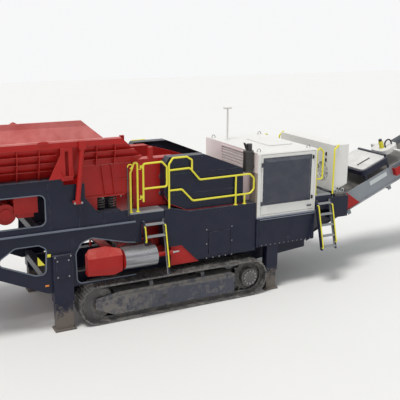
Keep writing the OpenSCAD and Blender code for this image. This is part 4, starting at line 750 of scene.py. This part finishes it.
def openMiddle(piece, border):  # a plate across X becomes an open frame of this width
    chooseFaces(piece, lambda place, normal: abs(normal.x) > 0.9)
    bpy.ops.mesh.inset(thickness=border, use_individual=True)
    bpy.ops.mesh.delete(type="FACE")
    bpy.ops.mesh.select_mode(type="EDGE")
    bpy.ops.mesh.select_non_manifold()
    bpy.ops.mesh.bridge_edge_loops()
    bpy.ops.object.mode_set(mode="OBJECT")


def softEdges(piece, width, segments=2):
    pickOnly(piece)
    bevel = piece.modifiers.new("softEdges", "BEVEL")
    bevel.width = width
    bevel.segments = segments
    bevel.limit_method = "ANGLE"
    bpy.ops.object.modifier_apply(modifier=bevel.name)


def bentRod(points, radius):
    line = bpy.data.curves.new("rod", "CURVE")
    line.dimensions = "3D"
    line.bevel_depth = radius
    line.bevel_resolution = 3
    line.use_fill_caps = True
    spline = line.splines.new("NURBS")
    spline.points.add(len(points) - 1)
    for knot, point in zip(spline.points, points):
        knot.co = (*point, 1)
    spline.order_u = 3
    spline.use_endpoint_u = True
    spline.resolution_u = 5
    piece = bpy.data.objects.new("rod", line)
    bpy.context.scene.collection.objects.link(piece)
    pickOnly(piece)
    bpy.ops.object.convert(target="MESH")
    return bpy.context.object


def copyPiece(piece, matrix):
    twin = piece.copy()
    twin.data = piece.data.copy()
    twin.data.transform(matrix)
    bpy.context.scene.collection.objects.link(twin)
    return twin


def joinPieces(pieces):
    deselectAll()
    for piece in pieces:
        piece.select_set(True)
    bpy.context.view_layer.objects.active = pieces[0]
    if len(pieces) > 1:
        bpy.ops.object.join()
    return bpy.context.object


def settle(piece, name, finish, body="chassis", smooth=None):
    pickOnly(piece)
    if smooth:
        bpy.ops.object.shade_smooth_by_angle(angle=math.radians(smooth))
    piece.name = name
    piece.data.name = name
    piece.data.materials.clear()
    piece.data.materials.append(finish)
    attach(piece, body)
    return piece


def spotsAlong(first, last, count):
    first, last = Vector(first), Vector(last)
    return [first.lerp(last, index / (count - 1)) for index in range(count)]


def onRise(reach, lift, y):  # a place on the rising conveyor
    angle = math.radians(riseValues["angle"])
    return Vector((
        across(riseValues["kink"]) + reach * math.cos(angle) - lift * math.sin(angle), y,
        riseValues["foot"] + reach * math.sin(angle) + lift * math.cos(angle)))


sides = ((-1, "Near"), (1, "Far"))


def outerFace(box, side):  # Y of the outer face of a near or far box
    return box[0].y if side < 0 else box[1].y


# Hexagon bolt with its washer, modelled once with the head along Z
boltValues = {"radius": 0.0135, "head": 0.010, "washer": 0.019, "plate": 0.003}


def makeBolt():
    place = (0, 0, boltValues["plate"] + boltValues["head"] / 2)
    bolt = startDrum(place, boltValues["radius"], boltValues["head"], "Z", 6)
    chooseFaces(bolt, lambda place, normal: normal.z > 0.9)
    bpy.ops.mesh.inset(thickness=boltValues["radius"] * 0.16)
    bpy.ops.transform.translate(value=(0, 0, 0.0018))
    bpy.ops.mesh.select_all(action="DESELECT")
    bpy.ops.mesh.primitive_cylinder_add(vertices=10, radius=boltValues["washer"], depth=boltValues["plate"],
                                        location=(0, 0, boltValues["plate"] / 2))
    bpy.ops.object.mode_set(mode="OBJECT")
    print("bolt modelled")
    return bolt


boltModel = makeBolt()


def boltField(name, spots, facing, size=1.0, finish=boltSteel, body="chassis"):
    turned = Vector(facing).to_track_quat("Z", "Y").to_matrix().to_4x4()
    bolts = [copyPiece(boltModel, Matrix.Translation(spot) @ turned @ Matrix.Scale(size, 4)) for spot in spots]
    return settle(joinPieces(bolts), name, finish, body)


# Hatch plate in each body panel, with its bolts
hatchValues = {"left": 0.785, "right": 1.325, "low": 1.115, "high": 1.645, "thick": 0.010, "border": 0.030,
               "sink": 0.006, "boltLeft": 0.730, "boltRight": 1.370, "boltLow": 1.045, "boltHigh": 1.710}


def makeHatches():
    for side, word in sides:
        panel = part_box("body_panel_near" if side < 0 else "body_panel_far")
        face = outerFace(panel, side)
        front = face + side * hatchValues["thick"]
        plate = startBlock((across(hatchValues["left"]), min(face, front), hatchValues["low"]),
                           (across(hatchValues["right"]), max(face, front), hatchValues["high"]))
        sinkFace(plate, (0, side, 0), hatchValues["border"], hatchValues["sink"])
        softEdges(plate, 0.003)
        settle(plate, "hatchPlate" + word, navyPaint)
        wall = face - side * 0.002
        left, right = across(hatchValues["boltLeft"]), across(hatchValues["boltRight"])
        low, high = hatchValues["boltLow"], hatchValues["boltHigh"]
        spots = spotsAlong((left, wall, low), (right, wall, low), 5)
        spots += spotsAlong((left, wall, high), (left, wall, (low + high) / 2), 2)
        spots += spotsAlong((right, wall, high), (right, wall, (low + high) / 2), 2)
        boltField("hatchBolts" + word, spots, (0, side, 0), 0.8)


makeHatches()

# Screws round the dark panel of the canopy door, and its latches
doorValues = {"left": 2.1525, "right": 3.4525, "low": 2.1125, "high": 3.1875, "border": -1.286, "wall": -1.280,
              "latchX": 3.505, "latchRows": (2.17, 3.13)}


def makeLatch():
    latch = startBlock((-0.022, -0.014, -0.045), (0.022, 0, 0.045))
    sinkFace(latch, (0, -1, 0), 0.006, 0.003)
    chooseFaces(latch, lambda place, normal: normal.y < -0.9 and abs(place.x) < 0.01 and abs(place.z) < 0.02)
    bpy.ops.mesh.inset(thickness=0.008)
    bpy.ops.mesh.extrude_region_move(TRANSFORM_OT_translate={"value": (0, -0.022, 0)})
    bpy.ops.transform.resize(value=(1.6, 1, 0.7))
    bpy.ops.object.mode_set(mode="OBJECT")
    softEdges(latch, 0.002)
    return latch


latchModel = makeLatch()


def makeDoorParts():
    left, right = across(doorValues["left"]), across(doorValues["right"])
    low, high, face = doorValues["low"], doorValues["high"], doorValues["border"]
    spots = spotsAlong((left, face, low), (right, face, low), 8)
    spots += spotsAlong((left, face, high), (right, face, high), 8)
    spots += spotsAlong((left, face, low), (left, face, high), 7)[1:-1]
    spots += spotsAlong((right, face, low), (right, face, high), 7)[1:-1]
    boltField("doorScrews", spots, (0, -1, 0), 0.42, body="canopy_door")
    latchX = across(doorValues["latchX"])
    latches = [copyPiece(latchModel, Matrix.Translation((latchX, doorValues["wall"], row)))
               for row in doorValues["latchRows"]]
    settle(joinPieces(latches), "doorLatches", blackPlastic, "canopy_door")


makeDoorParts()
print("hatches and door fittings made")

# Raised frame round the louvres on the end of the canopy
louvreValues = {"low": 2.835, "high": 3.270, "yLow": -0.675, "yHigh": 0.455, "border": 0.030, "thick": 0.012}


def makeLouvreFrame():
    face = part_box("canopy")[0].x
    frameBar = startBlock((face - louvreValues["thick"], louvreValues["yLow"], louvreValues["low"]),
                          (face, louvreValues["yHigh"], louvreValues["high"]))
    openMiddle(frameBar, louvreValues["border"])
    softEdges(frameBar, 0.002)
    settle(frameBar, "louvreFrame", canopyPaint)


makeLouvreFrame()

# Roof hatch and lifting eyes
roofValues = {"left": 2.75, "right": 3.40, "half": 0.55, "thick": 0.022, "roof": 3.32,
              "eyes": ((2.12, 1.1), (3.48, 1.1)), "eye": 0.045, "eyeHigh": 0.07, "eyeWire": 0.009}


def makeRoofParts():
    roof, half = roofValues["roof"], roofValues["eye"]
    plate = startBlock((across(roofValues["left"]), -roofValues["half"], roof),
                       (across(roofValues["right"]), roofValues["half"], roof + roofValues["thick"]))
    sinkFace(plate, (0, 0, 1), 0.05, 0.008)
    softEdges(plate, 0.006)
    settle(plate, "roofHatch", whitePaint)
    eyes = []
    for x, y in roofValues["eyes"]:
        for side in (-1, 1):
            high = roof + roofValues["eyeHigh"]
            corners = ((-half, roof), (-half, high), (half, high), (half, roof))
            arch = [(across(x) + step, side * y, z) for step, z in corners]
            eyes.append(bentRod(arch, roofValues["eyeWire"]))
    settle(joinPieces(eyes), "roofEyes", boltSteel, smooth=50)


makeRoofParts()

# Wire guards over the fan openings, and the latches of the cooler
fanValues = {"y": 0.73, "z": 2.64, "rings": (0.225, 0.175, 0.125, 0.075), "wire": 0.005,
             "latches": ((0.86, 3.07), (0.86, 2.92))}


def makeFanGuards():
    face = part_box("cooler_box")[0].x - fanValues["wire"]
    for side, word in sides:
        rings = []
        for radius in fanValues["rings"]:
            deselectAll()
            bpy.ops.mesh.primitive_torus_add(major_radius=radius, minor_radius=fanValues["wire"],
                                             major_segments=40, minor_segments=6, rotation=(0, math.pi / 2, 0),
                                             location=(face, side * fanValues["y"], fanValues["z"]))
            bpy.ops.object.transform_apply(location=True, rotation=True, scale=True)
            rings.append(bpy.context.object)
        reach = fanValues["rings"][0] + 0.02
        for index in range(4):
            angle = index * math.pi / 4
            step = Vector((0, math.cos(angle), math.sin(angle))) * reach
            middlePoint = Vector((face - fanValues["wire"], side * fanValues["y"], fanValues["z"]))
            rings.append(bentRod([middlePoint - step, middlePoint, middlePoint + step], fanValues["wire"]))
        settle(joinPieces(rings), "fanGuard" + word, whitePaint, smooth=50)
    quarter = Matrix.Rotation(-math.pi / 2, 4, "Z")
    latches = [copyPiece(latchModel, Matrix.Translation((face + fanValues["wire"], side * y, z)) @ quarter)
               for side, word in sides for y, z in fanValues["latches"]]
    settle(joinPieces(latches), "coolerLatches", blackPlastic)


makeFanGuards()
print("canopy and cooler fittings made")

# Valve bank beside the cooler: levers with knobs, and pale pipe elbows behind them
valveValues = {"left": 4.24, "right": 4.58, "y": -1.19, "foot": 2.07, "body": 0.06, "lever": 0.13,
               "knob": 0.020, "levers": 4, "pitch": 0.075, "pipes": (4.30, 4.38, 4.50), "pipe": 0.020}


def makeValveBank():
    for side, word in sides:
        y, foot = -side * valveValues["y"], valveValues["foot"]
        bank = startBlock((across(valveValues["left"]), y - 0.04, foot),
                          (across(valveValues["right"]), y + 0.04, foot + valveValues["body"]))
        sinkFace(bank, (0, 0, 1), 0.012, -0.012)
        softEdges(bank, 0.004)
        settle(bank, "valveBlock" + word, darkSteel)
        levers, knobs, pipes = [], [], []
        top = foot + valveValues["body"] + 0.01
        for index in range(valveValues["levers"]):
            x = across(valveValues["left"]) + 0.05 + index * valveValues["pitch"]
            tip = (x + 0.015, y + side * 0.03, top + valveValues["lever"] - index * 0.025)
            levers.append(bentRod([(x, y, top - 0.02), (x, y, top + 0.04), tip], 0.008))
            knob = startDrum(tip, valveValues["knob"], 0.035, "Z", 14)
            stepOut(knob, (0, 0, 1), [(0.006, 0.007)])
            softEdges(knob, 0.003)
            knobs.append(knob)
        for x in valveValues["pipes"]:
            back = y - side * 0.07
            low, high = foot + 0.005, top + 0.09
            turns = ((0, low), (0, high - 0.03), (0.01, high), (0.07, high), (0.07, low))
            pipes.append(bentRod([(across(x) + step, back, z) for step, z in turns], valveValues["pipe"]))
        settle(joinPieces(levers), "valveLevers" + word, brightSteel, smooth=50)
        settle(joinPieces(knobs), "valveKnobs" + word, blackPlastic, smooth=40)
        settle(joinPieces(pipes), "valvePipes" + word, palePlate, smooth=50)


makeValveBank()

# Grille on the outer face of the cooler
grilleValues = {"half": 0.98, "low": 2.47, "high": 3.20, "border": 0.035, "thick": 0.012, "slats": 17}


def makeGrille():
    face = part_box("cooler_box")[1].x
    half, low, high = grilleValues["half"], grilleValues["low"], grilleValues["high"]
    ring = startBlock((face, -half, low), (face + grilleValues["thick"], half, high))
    openMiddle(ring, grilleValues["border"])
    softEdges(ring, 0.002)
    settle(ring, "grilleFrame", whitePaint)
    border = grilleValues["border"]
    slat = startBlock((face + 0.001, -half + border, 0), (face + 0.007, half - border, 0.016))
    softEdges(slat, 0.002)
    rise = (high - low - 2 * border) / grilleValues["slats"]
    slats = [copyPiece(slat, Matrix.Translation((0, 0, low + border + (index + 0.3) * rise)))
             for index in range(grilleValues["slats"])]
    bpy.data.objects.remove(slat)
    settle(joinPieces(slats), "grilleSlats", darkSteel)


makeGrille()

# Service panel on the far side of the canopy
panelValues = {"left": 2.20, "right": 3.46, "low": 2.10, "high": 3.12, "thick": 0.008,
               "border": 0.05, "screws": 7}


def makeFarPanel():
    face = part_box("canopy")[1].y
    left, right = across(panelValues["left"]), across(panelValues["right"])
    low, high = panelValues["low"], panelValues["high"]
    plate = startBlock((left, face, low), (right, face + panelValues["thick"], high))
    sinkFace(plate, (0, 1, 0), panelValues["border"], 0.004)
    softEdges(plate, 0.003)
    settle(plate, "farPanel", whitePaint)
    front, edge = face + panelValues["thick"] - 0.001, panelValues["border"] / 2
    spots = []
    for z in (low + edge, high - edge):
        spots += spotsAlong((left + edge, front, z), (right - edge, front, z), panelValues["screws"])
    boltField("farScrews", spots, (0, 1, 0), 0.5)


makeFarPanel()

# Round pin heads at the feet of the hopper's struts
pinValues = {"spots": (-2.262, -2.118), "z": 2.685, "radius": 0.022, "length": 0.012, "face": 1.390}


def makeStrutPins():
    for side, word in sides:
        pins = []
        for x in pinValues["spots"]:
            pin = startDrum((across(x), side * (pinValues["face"] + pinValues["length"] / 2), pinValues["z"]),
                            pinValues["radius"], pinValues["length"], "Y", 24)
            stepOut(pin, (0, side, 0), [(0.010, 0.006)])
            softEdges(pin, 0.002)
            pins.append(pin)
        settle(joinPieces(pins), "strutPins" + word, boltSteel, smooth=40)


makeStrutPins()

# Pole with a yellow hook beside the platform
poleValues = {"x": -1.11, "y": -1.262, "low": 2.26, "high": 3.28, "radius": 0.013}


def makeHookPole():
    x, y = across(poleValues["x"]), poleValues["y"]
    foot = startBlock((x - 0.035, y - 0.004, poleValues["low"]), (x + 0.035, -1.25, poleValues["low"] + 0.11))
    softEdges(foot, 0.003)
    settle(foot, "poleFoot", navyPaint)
    y -= 0.004 + poleValues["radius"]
    low, top = poleValues["low"], poleValues["high"]
    pole = startDrum((x, y, (low + top) / 2), poleValues["radius"], top - low, "Z", 16)
    stepOut(pole, (0, 0, 1), [(0.003, 0.012)])
    settle(pole, "hookPole", darkSteel, smooth=40)
    turns = ((0, -0.03), (0, 0.06), (0.10, 0.06), (0.10, -0.02), (0.05, -0.02))
    hook = bentRod([(x + step, y, top + rise) for step, rise in turns], 0.011)
    settle(hook, "poleHook", yellowPaint, smooth=50)


makeHookPole()

# Round bosses with bolts on the crusher's cheeks
bossValues = {"wall": 0.90, "spots": ((-0.21, 2.94), (-0.22, 2.57)), "radius": 0.05, "length": 0.008}


def makeBosses():
    for side, word in sides:
        bosses = []
        wall = side * bossValues["wall"]
        for x, z in bossValues["spots"]:
            boss = startDrum((across(x), wall + side * bossValues["length"] / 2, z), bossValues["radius"],
                             bossValues["length"], "Y", 28)
            stepOut(boss, (0, side, 0), [(0.015, 0.006), (0.015, 0.005)])
            softEdges(boss, 0.002)
            bosses.append(boss)
        settle(joinPieces(bosses), "cheekBosses" + word, darkSteel, smooth=40)


makeBosses()

# Tensioning rod at the end of the side conveyor's motor
rodValues = {"x": -0.14, "y": -1.325, "z": 1.34, "radius": 0.030}


def makeTensionRod():
    place = (across(rodValues["x"]) + 0.02, rodValues["y"], rodValues["z"])
    rod = startDrum(place, rodValues["radius"], 0.04, "X", 24)
    stepOut(rod, (1, 0, 0), [(0.010, 0.09), (0.004, 0.03)])
    softEdges(rod, 0.003)
    settle(rod, "tensionRod", brightSteel, smooth=40)


makeTensionRod()

# Yellow corner plate in the lower opening of the side plate, a small box and a lamp
markerValues = {"left": -3.02, "right": -2.87, "low": 1.45, "high": 1.69, "face": -1.242, "thick": 0.010,
                "box": (-2.83, 1.61), "lamp": (-2.90, 0.995)}


def makeMarkers():
    left, right, face = across(markerValues["left"]), across(markerValues["right"]), markerValues["face"]
    plate = startBlock((left, face, markerValues["low"]),
                       (right, face + markerValues["thick"], markerValues["high"]))
    cutFrom = Vector((left, face, markerValues["high"] - 0.05))
    cutTo = Vector((right, face, markerValues["low"] - 0.01))
    run = cutTo - cutFrom
    pickOnly(plate)
    bpy.ops.object.mode_set(mode="EDIT")
    bpy.ops.mesh.select_all(action="SELECT")
    cutFacing = run.cross(Vector((0, 1, 0)))
    bpy.ops.mesh.bisect(plane_co=cutFrom, plane_no=cutFacing, use_fill=True, clear_outer=True)
    bpy.ops.object.mode_set(mode="OBJECT")
    softEdges(plate, 0.002)
    settle(plate, "yellowPlate", yellowPaint)
    x, z = markerValues["box"]
    box = startBlock((across(x), -1.272, z), (across(x) + 0.07, -1.25, z + 0.06))
    sinkFace(box, (0, -1, 0), 0.01, -0.006)
    softEdges(box, 0.004)
    settle(box, "yellowBox", yellowPaint)
    x, z = markerValues["lamp"]
    lamp = startBlock((across(x), -1.262, z), (across(x) + 0.08, -1.25, z + 0.035))
    sinkFace(lamp, (0, -1, 0), 0.006, -0.004)
    softEdges(lamp, 0.003)
    settle(lamp, "sideLamp", amberLens)


makeMarkers()
print("side fittings made")

# Bolts on the jack sleeves
sleeveValues = {"rearX": -2.54, "rearY": 1.342, "strip": (0.16, 1.605), "cover": (0.115, 1.18, 1.52)}


def makeSleeveBolts():
    for side, word in sides:
        y = side * sleeveValues["rearY"]
        x, reach = across(sleeveValues["rearX"]), sleeveValues["strip"][0]
        spots = [Vector((x + step, y, sleeveValues["strip"][1])) for step in (-reach, reach)]
        half, low, high = sleeveValues["cover"]
        spots += [Vector((x + step, y, z)) for step in (-half, half) for z in (low, high)]
        boltField("sleeveBolts" + word, spots, (0, side, 0), 0.9)


makeSleeveBolts()

# Bolt rows along panel edges
rowValues = {
    "baseRow": {"from": (2.14, 1.29, 1.145), "to": (3.50, 1.29, 1.145), "count": 12, "size": 0.6},
    "guardLow": {"from": (0.42, 1.15, 2.235), "to": (1.62, 1.15, 2.235), "count": 7, "size": 0.7,
                 "finish": "navyPaint"},
    "guardHigh": {"from": (-0.06, 1.15, 3.345), "to": (0.66, 1.15, 3.345), "count": 5, "size": 0.7,
                  "finish": "navyPaint"},
    "panelTop": {"from": (0.45, 1.25, 2.135), "to": (1.90, 1.25, 2.135), "count": 8, "size": 0.7,
                 "finish": "navyPaint"},
    "panFlange": {"from": (-1.98, 1.10, 2.66), "to": (-1.20, 1.10, 2.66), "count": 3, "size": 0.9},
}
rowFinishes = {"navyPaint": (navyPaint, "navy_paint"), "boltSteel": (boltSteel, "bare_steel")}


def makeBoltRows():
    for key, row in rowValues.items():
        for side, word in sides:
            first, last = ((across(spot[0]), side * spot[1], spot[2]) for spot in (row["from"], row["to"]))
            finish, slotName = rowFinishes[row.get("finish", "boltSteel")]
            spots = spotsAlong(first, last, row["count"])
            boltField(key + word, spots, (0, side, 0), row["size"], finish)


makeBoltRows()

# Bolts along the conveyor's side plates, and the pale plate on its near side
conveyorValues = {"half": 0.62, "from": 2.70, "to": 5.80, "count": 14, "lift": -0.105,
                  "plateFrom": 3.13, "plateTo": 3.72, "plateLow": 0.13, "plateHigh": 0.25, "thick": 0.006}


def makeConveyorParts():
    for side, word in sides:
        y = side * conveyorValues["half"]
        first = onRise(conveyorValues["from"], conveyorValues["lift"], y)
        last = onRise(conveyorValues["to"], conveyorValues["lift"], y)
        boltField("conveyorBolts" + word, spotsAlong(first, last, conveyorValues["count"]), (0, side, 0), 0.9)
    wall = -conveyorValues["half"]
    front = wall - conveyorValues["thick"]
    plate = startBlock((conveyorValues["plateFrom"], front, conveyorValues["plateLow"]),
                       (conveyorValues["plateTo"], wall, conveyorValues["plateHigh"]))
    sinkFace(plate, (0, -1, 0), 0.02, 0.002)
    softEdges(plate, 0.002)
    tilt = Matrix.Rotation(-math.radians(riseValues["angle"]), 4, "Y")
    plate.data.transform(Matrix.Translation(onRise(0, 0, 0)) @ tilt)
    settle(plate, "conveyorPlate", palePlate)


makeConveyorParts()

# Bolt circles on the sprocket hubs, and the plugs in the track frames
hubValues = {"sprocket": 0.38, "radius": 0.15, "count": 12, "size": 1.2,
             "plugX": -0.32, "plugZ": 0.36, "plug": 0.045}


def makeHubParts():
    for side, word in sides:
        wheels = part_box("track_wheels_near" if side < 0 else "track_wheels_far")
        face = outerFace(wheels, side)
        centre = Vector((wheels[1].x - hubValues["sprocket"], face, (wheels[0].z + wheels[1].z) / 2))
        angles = [index * math.tau / hubValues["count"] for index in range(hubValues["count"])]
        spots = [centre + hubValues["radius"] * Vector((math.cos(angle), 0, math.sin(angle)))
                 for angle in angles]
        boltField("hubBolts" + word, spots, (0, side, 0), hubValues["size"])
        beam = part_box("track_frame_near" if side < 0 else "track_frame_far")
        place = (across(hubValues["plugX"]), outerFace(beam, side) + side * 0.006, hubValues["plugZ"])
        plug = startDrum(place, hubValues["plug"], 0.012, "Y", 28)
        sinkFace(plug, (0, side, 0), 0.012, 0.008)
        softEdges(plug, 0.002)
        settle(plug, "framePlug" + word, darkSteel, smooth=40)


makeHubParts()

# Red strip under the flywheel guards
stripValues = {"start": (1.69, 2.181), "turns": ((0.30, 2.181), (-0.12, 2.366), (-0.24, 2.555)), "front": 1.153,
               "back": 1.135, "tall": 0.013}


def makeGuardStrips():
    for side, word in sides:
        x, z = stripValues["start"]
        low, high = sorted((side * stripValues["front"], side * stripValues["back"]))
        strip = startBlock((across(x) - 0.03, low, z), (across(x), high, z + stripValues["tall"]))
        chooseFaces(strip, lambda place, normal: normal.x < -0.9)
        x -= 0.03
        for nextX, nextZ in stripValues["turns"]:
            bpy.ops.mesh.extrude_region_move(TRANSFORM_OT_translate={"value": (nextX - x, 0, nextZ - z)})
            x, z = nextX, nextZ
        bpy.ops.object.mode_set(mode="OBJECT")
        settle(strip, "guardStrip" + word, redPaint)


makeGuardStrips()

# Flanges at the feet of the handrails
flangeValues = {"radius": 0.048, "height": 0.012,
                "feet": ((-1.02, 2.30), (-0.865, 2.30), (1.48, 2.18), (1.71, 2.18), (3.67, 2.18))}


def makeRailFlanges():
    for side, word in sides:
        flanges = []
        for x, z in flangeValues["feet"]:
            flange = startDrum((across(x), side * 1.2, z + flangeValues["height"] / 2), flangeValues["radius"],
                               flangeValues["height"], "Z", 20)
            stepOut(flange, (0, 0, 1), [(0.022, 0.018)])
            softEdges(flange, 0.002)
            flanges.append(flange)
        settle(joinPieces(flanges), "railFlanges" + word, yellowPaint, smooth=40)


makeRailFlanges()

# Clamp bands round the exhaust
bandValues = {"rows": (2.90, 3.35), "radius": 0.122, "height": 0.022}


def makeExhaustBands():
    bands = []
    for row in bandValues["rows"]:
        place = (across(exhaustValues["x"]), exhaustValues["y"], row)
        band = startDrum(place, bandValues["radius"], bandValues["height"], "Z", 40)
        sinkFace(band, (0, 0, 1), 0.02, 0.004)
        softEdges(band, 0.003)
        bands.append(band)
    settle(joinPieces(bands), "exhaustBands", darkSteel, smooth=40)


makeExhaustBands()
deselectAll()
bpy.data.objects.remove(boltModel)
bpy.data.objects.remove(latchModel)
print("bolts and bands made")

# Pale floor
floorValues = {"size": 120, "color": (0.70, 0.70, 0.69)}
deselectAll()
bpy.ops.mesh.primitive_plane_add(size=floorValues["size"], location=(0, 0, 0))
floor = bpy.context.object
floor.name = "paleFloor"
floorMaterial, floorTree, floorShader = newMaterial("paleFloor")
floorNoise = noiseNode(floorTree, objectPoint(floorTree), 0.4, 3, 0.5)
floorTree.links.new(mixColor(floorTree, floorNoise, (0.72, 0.72, 0.71), floorValues["color"]),
                    floorShader.inputs["Base Color"])
floorShader.inputs["Roughness"].default_value = 0.9
floor.data.materials.append(floorMaterial)
